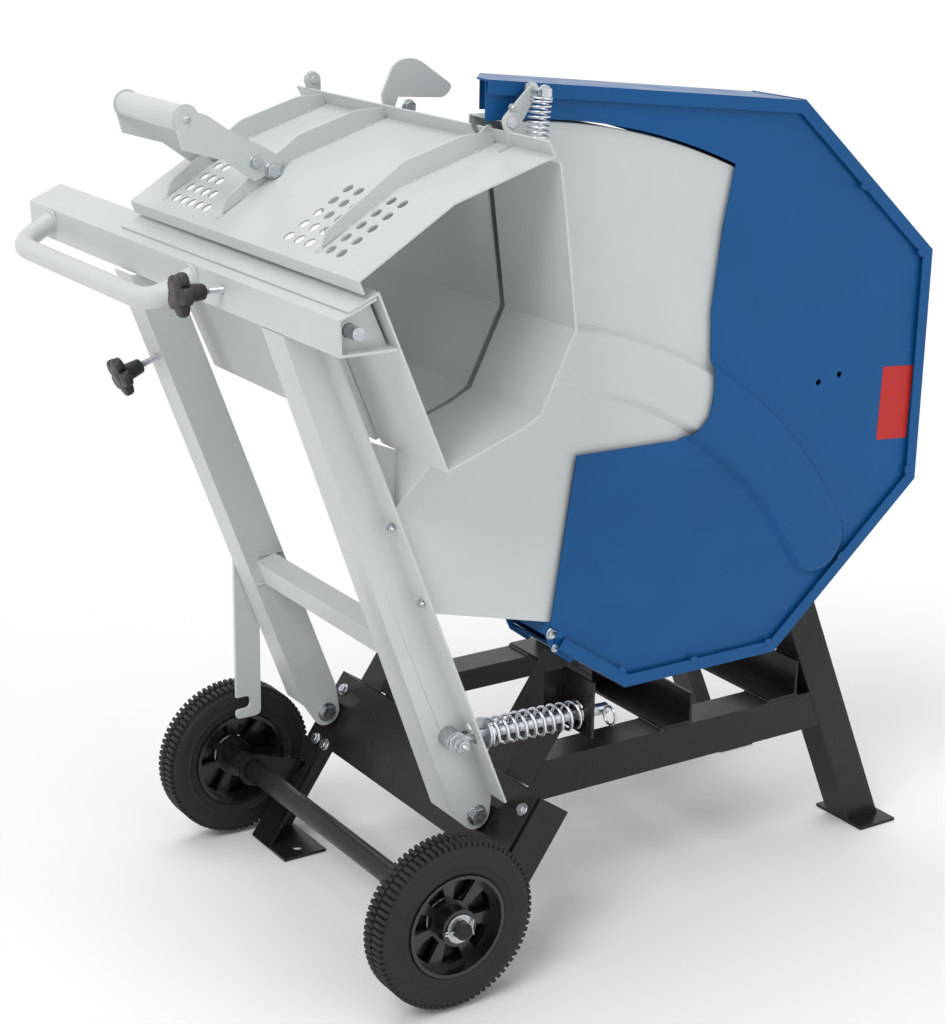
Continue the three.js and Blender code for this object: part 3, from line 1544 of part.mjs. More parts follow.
const beamFaceTool = block(-farAway, farAway, handleRootFaceY, farAway, -farAway, farAway);
const handleSolid = without(bentRod(handleRoute, handleRadius, handleSteps, 12), beamFaceTool);
place(rockerGroup, 'push_handle', handleSolid, greyPaint);

// Blade guard: two plates and a top strip that swing with the rocker inside the housing.
const guardFarX = 109;
const guardTopStart = 1.2;
const guardTopEnd = 24.3;
const nearGuardShares = [[0.88, 29], [0.78, 36], [0.528, 38], [0.314, 28]]; // of the radius, then degrees
const guardFootShares = [[0.128, 0.348]];
const guardLowUp = 276; // lower end of the guard on the leg
const guardHighUp = 500;
const guardBandInner = 503;
const guardBandOuter = 582;
const guardBandFrom = 6;
const guardBandTo = 38;
const farGuardShares = [[0.805, 24], [0.755, 7], [0.541, 5]];
const coverWall = 2;
const coverSlotStart = 2;
const coverSteps = 12;
const guardSides = 180;

const troughOutside = shifted(troughPath, -gap);
const troughBack = troughOutside.slice(2).reverse();
const beyondArc = [aboutPivot(farAway, guardTopEnd), aboutPivot(farAway, guardTopStart)];
const nearGuardOutline = [
  onLeg(guardLowUp, nearHalfAt(guardLowUp) + gap),
  ...fromPivot(guardFootShares),
  ...nearGuardShares.map(([share, degrees]) => aboutPivot(share * guardRadius, degrees)).reverse(),
  ...beyondArc,
  ...troughBack,
  onLeg(guardHighUp, nearHalfAt(guardHighUp) + gap),
];

// Guard plate between two planes: its outline, kept inside the arc of the guard.
function guardPlate(outline, fromX, toX) {
  const disc = plateAcrossX(circle(pivotY, pivotZ, guardRadius, guardSides), fromX, toX);
  return plateAcrossX(outline, fromX, toX).intersect(disc);
}
const nearGuardFlat = guardPlate(nearGuardOutline, guardNearX, guardNearX + guardWall);
const nearGuardKeep = guardPlate(nearGuardOutline, guardNearX - overrun, housingNearX + overrun);
const nearGuard = bulged(
  nearGuardFlat,
  guardNearX,
  guardWall,
  guardBandInner,
  guardBandOuter,
  guardBandFrom,
  guardBandTo,
).intersect(nearGuardKeep);
place(rockerGroup, 'guard_near_plate', nearGuard, greyPaint);

const farGuardOutline = [
  ...farGuardShares.map(([share, degrees]) => aboutPivot(share * guardRadius, degrees)).reverse(),
  ...beyondArc,
  ...troughBack,
];
const farGuard = guardPlate(farGuardOutline, guardFarX, guardFarX + guardWall);
place(rockerGroup, 'guard_far_plate', farGuard, greyPaint);

const coverOutline = [
  ...arcAboutPivot(guardRadius, guardTopEnd, guardTopStart, coverSteps),
  ...arcAboutPivot(guardRadius - coverWall, guardTopStart, guardTopEnd, coverSteps),
];
const coverSlot = [
  ...arcAboutPivot(guardRadius + overrun, guardTopEnd + guardTopStart, coverSlotStart, coverSteps),
  ...arcAboutPivot(guardRadius - overrun, coverSlotStart, guardTopEnd + guardTopStart, coverSteps),
];
const cover = without(
  plateAcrossX(coverOutline, guardFarX + guardWall + gap, guardNearX - gap),
  plateAcrossX(coverSlot, bladeX - bladeSlotHalf, bladeX + bladeSlotHalf),
);
place(rockerGroup, 'guard_arc_cover', cover, greyPaint);

// Transport hook: a strap that hangs from the far leg, with a notch near its foot.
const hookLength = 234;
const hookWidth = 35;
const hookTopRound = 17;
const hookNotch = 20;
const hookNotchHeight = 17;
const hookNotchUp = 22;
const hookLip = 16; // below the notch
const hookPivotIn = 18;
const hookTopZ = hookZ + hookPivotIn;
const hookFootZ = hookTopZ - hookLength - hookNotchUp;
const hookFrontY = hookY - hookWidth / 2;
const hookBackY = hookY + hookWidth / 2;
const hookOutline = [
  [hookFrontY, hookFootZ],
  [hookBackY, hookFootZ + hookNotchUp / 2],
  ...circle(hookY, hookZ, hookTopRound, 24).filter(([, z]) => z > hookZ),
  [hookFrontY, hookZ],
  [hookFrontY, hookFootZ + hookLip + hookNotchHeight],
  [hookFrontY + hookNotch, hookFootZ + hookLip + hookNotchHeight],
  [hookFrontY + hookNotch, hookFootZ + hookLip],
  [hookFrontY, hookFootZ + hookLip],
];
const hook = plateAcrossX(hookOutline, hookNearX - hookWall, hookNearX, [
  circle(hookY, hookZ, hookBoltRadius + boltClearance, 16),
]);
place(rockerGroup, 'transport_hook', hook, greyPaint);

// Star knobs with three lobes on threaded stems.
const knobRadius = 17;
const knobLobe = 11;
const knobWall = 20;
const lobeSteps = 7;
const lobeSweep = 260; // degrees of each lobe's round
const knobNeck = 9;
const knobNeckLength = 14;
const stopKnobGap = 20; // beam face to the neck
const hookKnobGap = 22;

function starOutline() {
  const points = [];
  for (let lobe = 0; lobe < 3; lobe += 1) {
    const middle = (2 * Math.PI * lobe) / 3 + Math.PI / 2;
    for (let step = 0; step <= lobeSteps; step += 1) {
      const turn = middle + THREE.MathUtils.degToRad(lobeSweep) * (step / lobeSteps - 0.5);
      points.push([
        knobRadius * Math.cos(middle) + knobLobe * Math.cos(turn),
        knobRadius * Math.sin(middle) + knobLobe * Math.sin(turn),
      ]);
    }
  }
  return points;
}

function starKnob(face, tip) {
  const along = face.clone().sub(tip).normalize();
  const up = along.clone().cross(alongX).normalize();
  const matrix = new THREE.Matrix4().makeBasis(alongX, up, along).setPosition(face);
  const neckEnd = face.clone().addScaledVector(along, -knobNeckLength);
  return joined(
    solidOf(prism(starOutline(), [], knobWall).applyMatrix4(matrix)),
    rod(neckEnd, face.clone().addScaledVector(along, gap), knobNeck, 16),
    rod(tip, face.clone().addScaledVector(along, 2 * gap), knobStemRadius, 14),
  );
}
const stopKnobFace = new THREE.Vector3(stopKnobX, handleRootY - stopKnobGap - knobNeckLength, stopRodZ);
const stopKnobTip = new THREE.Vector3(stopKnobX, stopRodY - stopRodRadius - gap, stopRodZ);
place(rockerGroup, 'stop_knob', starKnob(stopKnobFace, stopKnobTip), knobPlastic);
const hookKnobFace = new THREE.Vector3(
  hookKnobX,
  ...onLeg(hookKnobUp, -farLegHalf - hookKnobGap - knobNeckLength),
);
const hookKnobTip = new THREE.Vector3(hookKnobX, ...onLeg(hookKnobUp, -farLegHalf + 2 * overrun));
place(rockerGroup, 'leg_knob', starKnob(hookKnobFace, hookKnobTip), knobPlastic);

// Lid: folded perforated plate with three stiffening ribs, an ear, a stop tab and a lift handle.
const lidWall = 2;
const lidShares = [[-0.332, 1.007], [-0.34, 1.026], [-0.175, 1.128], [0.011, 1.188], [-0.003, 1.214]];
const lidFarX = -243;
const ribShares = [
  [-0.318, 1.045], [-0.306, 1.074], [-0.168, 1.171], [-0.054, 1.206], [0.003, 1.208], [0.003, 1.186],
  [-0.175, 1.1275],
];
const ribWall = 3;
const ribFarX = -185;
const ribMiddleX = -47;
const ribNearX = 176;
const ribPlaces = [ribFarX, ribMiddleX, ribNearX];
const holeRadius = 6.5;
const holeSteps = 6;
const lidSlotFrontShare = -0.12;
const earShares = [[-0.003, 1.2145], [0.005, 1.19], [0.02, 1.214], [0.058, 1.274], [0.045, 1.286]];
const earBoltShares = [0.047, 1.275];
const tabShares = [
  [-0.003, 1.229], [0.023, 1.286], [0.065, 1.291], [0.143, 1.238], [0.126, 1.218], [0.03, 1.224],
  [0.021, 1.198], [0.004, 1.19],
];
const hingeNotchRadius = 34;
const tabFarX = -49;
const tabWall = 4;
const armShares = [
  [-0.377, 1.226], [-0.343, 1.215], [-0.3, 1.186], [-0.242, 1.158], [-0.205, 1.137], [-0.207, 1.12],
  [-0.258, 1.1], [-0.312, 1.138], [-0.388, 1.16], [-0.398, 1.197],
];
const armWall = 4;
const armNearX = -41;
const armFarX = -196;
const gripShares = [-0.38, 1.21];
const gripRadius = 14;
const armBoltShares = [-0.224, 1.116];
const armBoltRadius = 5;
const perforationFarX = -164;
const perforationNearX = 104;
const perforationFarStep = 19;
const perforationNearStep = 22;
const perforationFar = { fromX: perforationFarX, spacing: perforationFarStep, counts: [5, 4, 3, 2] };
const perforationNear = { fromX: perforationNearX, spacing: perforationNearStep, counts: [6, 6, 6, 6, 6] };
const rowShares = [-0.308, -0.281, -0.254, -0.227, -0.2];

const lidPath = fromPivot(lidShares);
const lidSlope = new THREE.Vector3(0, lidPath[2][0] - lidPath[1][0], lidPath[2][1] - lidPath[1][1]).normalize();
const lidNormal = alongX.clone().cross(lidSlope);

function lidPoint(x, y) {
  const travel = (y - lidPath[1][0]) / lidSlope.y;
  return new THREE.Vector3(x, lidPath[1][0], lidPath[1][1]).addScaledVector(lidSlope, travel);
}

const holes = [];
[perforationFar, perforationNear].forEach(({ fromX, spacing, counts }) => {
  counts.forEach((count, row) => {
    const y = pivotY + rowShares[row] * rockerHeight;
    for (let hole = 0; hole < count; hole += 1) {
      const x = fromX + hole * spacing;
      const blocked = ribPlaces.some((ribX) => Math.abs(x - ribX - ribWall / 2) < holeRadius + ribWall);
      if (!blocked) {
        const middle = lidPoint(x, y);
        holes.push(rod(
          middle.clone().addScaledVector(lidNormal, -overrun),
          middle.clone().addScaledVector(lidNormal, overrun),
          holeRadius,
          holeSteps,
        ));
      }
    }
  });
});

const lidSheet = plateAcrossX(sheet(lidPath, lidWall), lidFarX, troughNearX);
const lidSlot = block(
  bladeX - bladeSlotHalf,
  bladeX + bladeSlotHalf,
  pivotY + lidSlotFrontShare * rockerHeight,
  farawayHalf,
  0,
  farawayHalf,
);
const ribs = ribPlaces.map((x) => plateAcrossX(fromPivot(ribShares), x, x + ribWall));
const earBolt = fromPivot([earBoltShares])[0];
const hingeBore = (fromX) => rodAlongX(
  fromX - overrun / 2,
  fromX + hingeEarWall + overrun / 2,
  hingeY,
  hingeZ,
  hingePinRadius + gap,
  16,
);
const lidEar = (fromX, outline) => plateAcrossX(
  wrapped([...fromPivot(outline), ...circle(hingeY, hingeZ, hingeLugRadius - 2 * gap, 16)]),
  fromX,
  fromX + hingeEarWall,
);
const nearEar = joined(
  lidEar(hingeEarNearX, earShares),
  lidSpringPin(hingeEarNearX, earBolt[0], earBolt[1]),
);
const farEar = lidEar(hingeEarFarX, earShares.slice(0, 3));
const tab = plateAcrossX(fromPivot(tabShares), tabFarX, tabFarX + tabWall);
const [armBoltY, armBoltZ] = fromPivot([armBoltShares])[0];
const armBolt = (ribX, armX) => {
  const headX = armX > ribX ? armX + armWall + gap : armX - gap;
  const endX = armX > ribX ? headX + pinHead : headX - pinHead;
  return joined(
    rodAlongX(Math.min(ribX, endX), Math.max(ribX, endX), armBoltY, armBoltZ, armBoltRadius, 16),
    rodAlongX(Math.min(headX, endX), Math.max(headX, endX), armBoltY, armBoltZ, armBoltRadius * headShare, 6),
  );
};
const hingeNotch = (fromX) => rodAlongX(
  fromX - 2 * gap,
  fromX + hingeLugWall + 2 * gap,
  hingeY,
  hingeZ,
  hingeNotchRadius,
  24,
);
const lid = without(
  joined(
    without(joined(lidSheet, ...ribs), ...holes, lidSlot, hingeNotch(nearLugX), hingeNotch(farLugX)),
    nearEar,
    farEar,
    tab,
    armBolt(ribPlaces[1], armNearX),
    armBolt(ribPlaces[0] + ribWall, armFarX),
  ),
  hingeBore(hingeEarNearX),
  hingeBore(hingeEarFarX),
);
place(lidGroup, 'lid', lid, greyPaint);

// Lid spring, from the pin on the lid's ear to the pin on the trough's lug.
const lidSpringTop = new THREE.Vector3(lidSpringX, earBolt[0], earBolt[1]);
const lidSpringFoot = new THREE.Vector3(lidSpringX, anchorY, anchorZ);
const lidSpringSpan = lidSpringTop.distanceTo(lidSpringFoot);
const lidSpringAlong = lidSpringTop.clone().sub(lidSpringFoot).normalize();
const lidCoil = coil(
  lidSpringFoot.clone().addScaledVector(lidSpringAlong, lidSpringPinRadius + gap),
  lidSpringAlong,
  alongX,
  lidSpringRadius,
  lidSpringWire,
  lidSpringSpan - 2 * lidSpringPinRadius - 2 * gap,
  lidSpringTurns,
  springEndTurns,
);
console.log(`lid_spring least gap to itself ${lidCoil.least.toFixed(2)} mm`);
place(rockerGroup, 'lid_spring', solidOf(lidCoil.geometry), chrome);

// Lift handle: two arms on the lid with a cross grip; it tilts a little on its bolts.
const armOutline = fromPivot(armShares);
const [gripY, gripZ] = fromPivot([gripShares])[0];
const handleArms = [armNearX, armFarX].map((x) => plateAcrossX(armOutline, x, x + armWall));
const liftHandle = without(
  joined(...handleArms, rodAlongX(armFarX, armNearX + armWall, gripY, gripZ, gripRadius, 24)),
  rodAlongX(armFarX - overrun, armNearX + 2 * overrun, armBoltY, armBoltZ, armBoltRadius + boltClearance, 16),
);
place(lidGroup, 'lift_handle', liftHandle, greyPaint);

// Centre the saw over its own footprint.
const bounds = new THREE.Box3().setFromObject(saw);
const middle = bounds.getCenter(new THREE.Vector3());
saw.position.set(-middle.x, -middle.y, -bounds.min.z);
saw.updateMatrixWorld(true);

export default saw;
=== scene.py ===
"""Looks of a firewood circular saw: finishes for its solids, and pieces in place of the plainer ones."""

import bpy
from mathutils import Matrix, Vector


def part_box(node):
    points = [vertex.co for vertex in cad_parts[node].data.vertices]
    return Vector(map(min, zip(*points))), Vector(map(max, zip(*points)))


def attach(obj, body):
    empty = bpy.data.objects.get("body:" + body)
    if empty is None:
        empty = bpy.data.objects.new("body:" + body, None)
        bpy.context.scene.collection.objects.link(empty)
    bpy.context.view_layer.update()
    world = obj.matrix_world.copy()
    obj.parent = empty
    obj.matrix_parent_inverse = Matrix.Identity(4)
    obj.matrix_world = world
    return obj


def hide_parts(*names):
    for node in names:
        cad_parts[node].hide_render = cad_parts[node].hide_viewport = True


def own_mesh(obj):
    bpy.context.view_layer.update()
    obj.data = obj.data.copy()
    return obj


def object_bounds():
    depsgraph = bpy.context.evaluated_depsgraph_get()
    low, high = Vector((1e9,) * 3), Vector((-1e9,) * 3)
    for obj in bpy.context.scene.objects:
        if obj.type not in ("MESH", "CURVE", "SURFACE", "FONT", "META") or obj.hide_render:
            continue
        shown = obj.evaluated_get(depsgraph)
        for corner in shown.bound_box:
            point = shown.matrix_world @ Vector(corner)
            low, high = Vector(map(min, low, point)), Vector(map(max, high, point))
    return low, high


bl_info = {
    "name": "Firewood circular saw",
    "version": (1, 0, 0),
    "blender": (4, 5, 0),
    "location": "3D View > Sidebar > Saw",
    "description": "Dresses the solids of a firewood circular saw",
    "category": "Object",
}

import math

import bmesh
import bpy
from bpy.props import FloatProperty, FloatVectorProperty, IntProperty, PointerProperty
from mathutils import Matrix, Vector

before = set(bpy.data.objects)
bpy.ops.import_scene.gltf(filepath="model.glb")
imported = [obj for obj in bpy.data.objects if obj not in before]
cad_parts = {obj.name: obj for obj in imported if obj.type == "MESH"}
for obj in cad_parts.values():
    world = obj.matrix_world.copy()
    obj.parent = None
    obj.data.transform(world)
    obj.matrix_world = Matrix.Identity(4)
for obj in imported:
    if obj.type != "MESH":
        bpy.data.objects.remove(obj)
CAD_LOW, CAD_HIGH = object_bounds()
MM = 0.001

# The drawing has its origin on the floor under the middle of the wheel axle.
AXLE_LOW, AXLE_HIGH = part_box("axle")
ORIGIN = Vector(((AXLE_LOW.x + AXLE_HIGH.x) / 2, (AXLE_LOW.y + AXLE_HIGH.y) / 2, 0))

PIVOT = (95, 172)  # rocker axis
ROCKER_HEIGHT = 650
BLADE = (400, 634)  # blade axis
BLADE_TEETH = 44
BLADE_X = 147
GUARD_RADIUS = 795  # edge of the guard, from the rocker axis
CUT_RADIUS = 798  # edge of the housing's cut-out, from the rocker axis
AXLE_HEIGHT = 105
WHEEL_X = 261
LEG_LEAN = math.radians(-20.776)
LEG_LENGTH = 634.03
NEAR_FOOT_HALF = 28
NEAR_TOP_HALF = 18


def tone(red, green, blue):
    """A colour as seen on a screen, 0 to 255, as the linear numbers that shaders take."""
    shares = [value / 255 for value in (red, green, blue)]
    return tuple(v / 12.92 if v <= 0.04045 else ((v + 0.055) / 1.055) ** 2.4 for v in shares)


def length_of(name, description, default):
    return FloatProperty(name=name, description=description, default=default * MM, unit="LENGTH")


def colour_of(name, description, *seen):
    return FloatVectorProperty(name=name, description=description, subtype="COLOR", default=tone(*seen))


class SawSizes(bpy.types.PropertyGroup):
    """Sizes of the detail that a user may change."""

    tread_blocks: IntProperty(name="Tread blocks", description="Blocks in each row", default=80, min=12)
    tread_depth: length_of("Tread depth", "Height of a block", 5)
    edge_round: length_of("Edge", "Rounding of sheet edges", 0.6)
    wire_sides: IntProperty(name="Wire sides", description="Sides of a spring's wire", default=12, min=6)
    weld_width: length_of("Weld", "Width of a weld bead", 4.5)
    hole_radius: length_of("Hole", "Radius of a lid hole", 6.5)


class SawColours(bpy.types.PropertyGroup):
    """Colours of the finishes."""

    grey: colour_of("Grey paint", "Rocker and lid", 203, 208, 207)
    blue: colour_of("Blue paint", "Blade housing", 20, 84, 140)
    black: colour_of("Black paint", "Frame", 30, 30, 31)
    zinc: colour_of("Zinc", "Bolts and pins", 190, 194, 198)
    rubber: colour_of("Rubber", "Tyres", 38, 38, 38)
    red: colour_of("Red plate", "Bare plate", 188, 42, 38)


class Value:
    """A shader value; the usual operators add Math nodes."""

    def __init__(self, tree, socket):
        self.tree = tree
        self.socket = socket

    def _math(self, operation, other):
        node = self.tree.nodes.new("ShaderNodeMath")
        node.operation = operation
        for plug, value in zip(node.inputs, (self, other)):
            feed(self.tree, plug, value)
        return Value(self.tree, node.outputs[0])

    def __add__(self, other):
        return self._math("ADD", other)

    __radd__ = __add__

    def __mul__(self, other):
        return self._math("MULTIPLY", other)

    __rmul__ = __mul__

    def above(self, limit):
        return self._math("GREATER_THAN", limit)


def feed(tree, plug, value):
    """Links a value to a plug, or sets the plug's own number or colour."""
    if isinstance(value, Value):
        tree.links.new(value.socket, plug)
    elif isinstance(value, tuple) and len(value) == 3 and plug.type == "RGBA":
        plug.default_value = (*value, 1)
    else:
        plug.default_value = value


class Finish:
    """Builds one material from nodes."""

    def __init__(self, name):
        self.material = bpy.data.materials.new(name)
        self.material.use_nodes = True
        self.tree = self.material.node_tree
        self.tree.nodes.clear()
        self.place = self.node("ShaderNodeTexCoord", out="Object")

    def node(self, kind, settings=None, out=0, **plugs):
        node = self.tree.nodes.new(kind)
        for key, value in (settings or {}).items():
            setattr(node, key, value)
        for label, value in plugs.items():
            feed(self.tree, node.inputs[label.replace("_", " ")], value)
        return Value(self.tree, node.outputs[out])

    def mapped(self, stretch):
        return self.node("ShaderNodeMapping", Vector=self.place, Scale=stretch)

    def noise(self, scale, detail=3.0, rough=0.55, place=None):
        plugs = {"Scale": scale, "Detail": detail, "Roughness": rough, "Vector": place or self.place}
        return self.node("ShaderNodeTexNoise", out="Fac", **plugs)

    def ramp(self, value, low, high):
        return self.node("ShaderNodeMapRange", Value=value, From_Min=low, From_Max=high)

    def mixed(self, share, first, second):
        node = self.tree.nodes.new("ShaderNodeMix")
        node.data_type = "RGBA"
        feed(self.tree, node.inputs[0], share)
        feed(self.tree, node.inputs[6], first)
        feed(self.tree, node.inputs[7], second)
        return Value(self.tree, node.outputs[2])

    def bump(self, height, strength, distance):
        return self.node("ShaderNodeBump", out="Normal", Height=height, Strength=strength, Distance=distance)

    def done(self, **plugs):
        shader = self.node("ShaderNodeBsdfPrincipled", **plugs)
        output = self.tree.nodes.new("ShaderNodeOutputMaterial")
        self.tree.links.new(shader.socket, output.inputs["Surface"])
        return self.material


def shaded(colour, factor):
    return tuple(min(1.0, channel * factor) for channel in colour)


def powder_coat(name, colour, roughness, coat, variation=0.06, peel=0.12, gloss=0.22):
    """Sprayed paint: a faint orange peel, slow changes of tone, and specks of dust."""
    finish = Finish(name)
    broad = finish.ramp(finish.noise(9.0), 0.3, 0.7)
    tint = finish.mixed(broad, shaded(colour, 1 - variation), shaded(colour, 1 + variation))
    specks = finish.noise(900.0, 1.0).above(0.74)
    tint = finish.mixed(specks * 0.25, tint, shaded(colour, 0.7))
    smears = finish.ramp(finish.noise(26.0, 4.0, 0.6, finish.mapped((1, 1, 0.35))), 0.35, 0.75)
    skin = finish.bump(finish.noise(330.0, 2.0), peel, 0.4 * MM)
    return finish.done(
        Base_Color=tint,
        Roughness=smears * 0.14 + (roughness - 0.05),
        Normal=skin,
        Coat_Weight=coat,
        Coat_Roughness=0.12,
        Specular_IOR_Level=gloss,
    )


def plated(name, colour, roughness, grain=180.0):
    """Zinc plating: mottled, with fine handling marks."""
    finish = Finish(name)
    spots = finish.ramp(finish.noise(grain, 4.0), 0.3, 0.7)
    tint = finish.mixed(spots, shaded(colour, 0.82), shaded(colour, 1.08))
    marks = finish.bump(finish.noise(1400.0, 2.0), 0.15, 0.1 * MM)
    return finish.done(Base_Color=tint, Metallic=1.0, Roughness=spots * 0.18 + roughness, Normal=marks)


def ground_steel(name, colour, middle):
    """Blade steel with rings left by grinding round the axis."""
    finish = Finish(name)
    turned = finish.node("ShaderNodeMapping", Vector=finish.place, Location=tuple(-v for v in middle))
    plugs = {"Vector": turned, "Scale": 260.0, "Distortion": 0.6, "Detail": 2.0}
    shape = {"wave_type": "RINGS", "rings_direction": "X"}
    rings = finish.node("ShaderNodeTexWave", shape, out="Fac", **plugs)
    blot = finish.noise(30.0, 4.0)
    tint = finish.mixed(rings * 0.5 + blot * 0.5, shaded(colour, 0.8), shaded(colour, 1.05))
    skin = finish.bump(rings, 0.12, 0.1 * MM)
    return finish.done(Base_Color=tint, Metallic=1.0, Roughness=blot * 0.2 + 0.22, Normal=skin)


def moulded(name, colour, roughness, grain, coat=0.0):
    """Moulded plastic with a fine spark-eroded grain."""
    finish = Finish(name)
    tint = finish.mixed(finish.noise(14.0), shaded(colour, 0.85), shaded(colour, 1.2))
    skin = finish.bump(finish.noise(grain, 2.0), 0.18, 0.15 * MM)
    return finish.done(
        Base_Color=tint,
        Roughness=finish.noise(60.0) * 0.12 + (roughness - 0.06),
        Normal=skin,
        Coat_Weight=coat,
    )


def tyre_rubber(name, colour):
    """Solid rubber: dull, a little dusty in the hollows, with a fine grain."""
    finish = Finish(name)
    dust = finish.ramp(finish.noise(22.0, 5.0, 0.65), 0.45, 0.75)
    tint = finish.mixed(dust * 0.35, colour, shaded(colour, 1.9))
    skin = finish.bump(finish.noise(700.0, 3.0), 0.3, 0.2 * MM)
    return finish.done(Base_Color=tint, Roughness=dust * 0.12 + 0.62, Normal=skin, Specular_IOR_Level=0.25)


def weld_paint(name, colour, roughness):
    """Painted weld bead: the ripples of the bead show through the paint."""
    finish = Finish(name)
    tint = finish.mixed(finish.noise(120.0), shaded(colour, 0.86), shaded(colour, 1.04))
    skin = finish.bump(finish.noise(420.0, 3.0), 0.5, 0.5 * MM)
    return finish.done(Base_Color=tint, Roughness=roughness, Normal=skin)


MATERIALS = {}


def make_materials(colours):
    """Every finish of the saw, by the record's slot or by its own name."""
    blade_middle = at(BLADE_X, *BLADE)
    MATERIALS.update({
        "grey_paint": powder_coat("grey_powder_coat", tuple(colours.grey), 0.36, 0.1, 0.025, 0.1),
        "blue_paint": powder_coat("blue_powder_coat", tuple(colours.blue), 0.33, 0.06, 0.05, 0.12, 0.13),
        "black_paint": powder_coat("black_gloss_paint", tuple(colours.black), 0.3, 0.12, 0.2, 0.2),
        "zinc": plated("zinc_plating", tuple(colours.zinc), 0.24),
        "chrome": plated("spring_chrome", tone(214, 217, 222), 0.08, 60.0),
        "blade_steel": ground_steel("ground_blade_steel", tone(176, 180, 183), blade_middle),
        "tyre": tyre_rubber("solid_rubber", tuple(colours.rubber)),
        "rim_plastic": moulded("gloss_black_plastic", tone(22, 22, 23), 0.24, 500.0, 0.4),
        "knob_plastic": moulded("knob_black_plastic", tone(34, 31, 29), 0.42, 900.0),
        "motor_paint": powder_coat("motor_grey_paint", tone(62, 66, 69), 0.42, 0.1, 0.1, 0.3),
        "box_plastic": moulded("box_black_plastic", tone(30, 31, 33), 0.5, 1200.0),
        "start_green": moulded("button_green_plastic", tone(30, 138, 62), 0.32, 900.0, 0.3),
        "stop_red": moulded("button_red_plastic", tone(182, 34, 32), 0.32, 900.0, 0.3),
        "red_plate": powder_coat("red_plate_film", tuple(colours.red), 0.38, 0.08, 0.03, 0.02),
        "grey_weld": weld_paint("grey_painted_weld", tuple(colours.grey), 0.4),
        "black_weld": weld_paint("black_painted_weld", tuple(colours.black), 0.34),
        "blue_weld": weld_paint("blue_painted_weld", tuple(colours.blue), 0.36),
    })


def at(x, y, z):
    """A point of the drawing, in millimetres, as a place in the frame."""
    return ORIGIN + Vector((x, y, z)) * MM


def from_pivot(shares):
    return [(PIVOT[0] + y * ROCKER_HEIGHT, PIVOT[1] + z * ROCKER_HEIGHT) for y, z in shares]


def on_leg(up, back=0):
    """Height along the rocker legs from their axis, and distance behind their middle line."""
    sine, cosine = math.sin(LEG_LEAN), math.cos(LEG_LEAN)
    return (PIVOT[0] + sine * up + cosine * back, PIVOT[1] + cosine * up - sine * back)


def on_circle(middle, radius, angle):
    return (middle[0] + radius * math.cos(angle), middle[1] + radius * math.sin(angle))


def circle(middle, radius, sides):
    turn = 2 * math.pi / sides
    return [on_circle(middle, radius, side * turn) for side in range(sides)]


def closed_rings(x, middle, radii, sides):
    """Rings of points that stand square to the X axis, each closed with one step of overlap."""
    rings = []
    for radius in radii:
        ring = [at(x, *point) for point in circle(middle, radius, sides)]
        rings.append(ring + ring[:2])
    return rings


def wrapped(points):
    """Tightest convex outline round some points."""
    points = sorted(set(points))

    def half(ordered):
        chain = []
        for point in ordered:
            while len(chain) > 1:
                (ax, ay), (bx, by) = chain[-2], chain[-1]
                if (bx - ax) * (point[1] - ay) - (by - ay) * (point[0] - ax) > 0:
                    break
                chain.pop()
            chain.append(point)
        return chain[:-1]

    return half(points) + half(points[::-1])


def area_of(outline):
    pairs = zip(outline, outline[1:] + outline[:1])
    return sum(a[0] * b[1] - b[0] * a[1] for a, b in pairs) / 2


class Form:
    """Collects the points and faces of one piece."""

    def __init__(self):
        self.points = []
        self.faces = []

    def add(self, points, faces):
        start = len(self.points)
        self.points.extend(points)
        self.faces.extend([tuple(start + corner for corner in face) for face in faces])
        return self

    def prism(self, outline, low, high, across=0):
        """A plate that is thick along X, with its outline in Y and Z, or along Z (across 2), in X and Y."""
        if area_of(outline) < 0:
            outline = outline[::-1]
        count = len(outline)

        def point(pair, depth):
            place = [pair[0], pair[1], depth]
            return at(*(place if across == 2 else place[2:] + place[:2]))

        points = [point(pair, low) for pair in outline] + [point(pair, high) for pair in outline]
        faces = [tuple(range(count))[::-1], tuple(range(count, 2 * count))]
        faces += [(i, (i + 1) % count, count + (i + 1) % count, count + i) for i in range(count)]
        return self.add(points, faces)

    def turned(self, profile, middle, along, sides=48):
        """A body turned about a line, from (radius, distance along) pairs that run round its section."""
        along = along.normalized()
        across = along.orthogonal().normalized()
        third = along.cross(across)
        count = len(profile)
        points = []
        for side in range(sides):
            angle = 2 * math.pi * side / sides
            out = across * math.cos(angle) + third * math.sin(angle)
            points += [middle + along * (far * MM) + out * (radius * MM) for radius, far in profile]
        faces = []
        for side in range(sides):
            here, there = side * count, (side + 1) % sides * count
            for step in range(count):
                after = (step + 1) % count
                faces.append((here + step, there + step, there + after, here + after))
        return self.add(points, faces)

    def made(self, name, material, smooth_angle=35):
        mesh = bpy.data.meshes.new(name)
        mesh.from_pydata([tuple(point) for point in self.points], [], self.faces)
        return finished_mesh(name, mesh, material, smooth_angle)


def finished_mesh(name, mesh, material, smooth_angle=35):
    """Merges doubled points, turns faces outwards and smooths the rounds of a mesh."""
    work = bmesh.new()
    work.from_mesh(mesh)
    bmesh.ops.remove_doubles(work, verts=work.verts, dist=0.005 * MM)
    bmesh.ops.dissolve_degenerate(work, edges=work.edges, dist=0.001 * MM)
    bmesh.ops.recalc_face_normals(work, faces=work.faces)
    work.to_mesh(mesh)
    work.free()
    mesh.shade_smooth()
    mesh.set_sharp_from_angle(angle=math.radians(smooth_angle))
    mesh.materials.clear()
    mesh.materials.append(MATERIALS[material])
    piece = bpy.data.objects.new(name, mesh)
    bpy.context.scene.collection.objects.link(piece)
    return piece


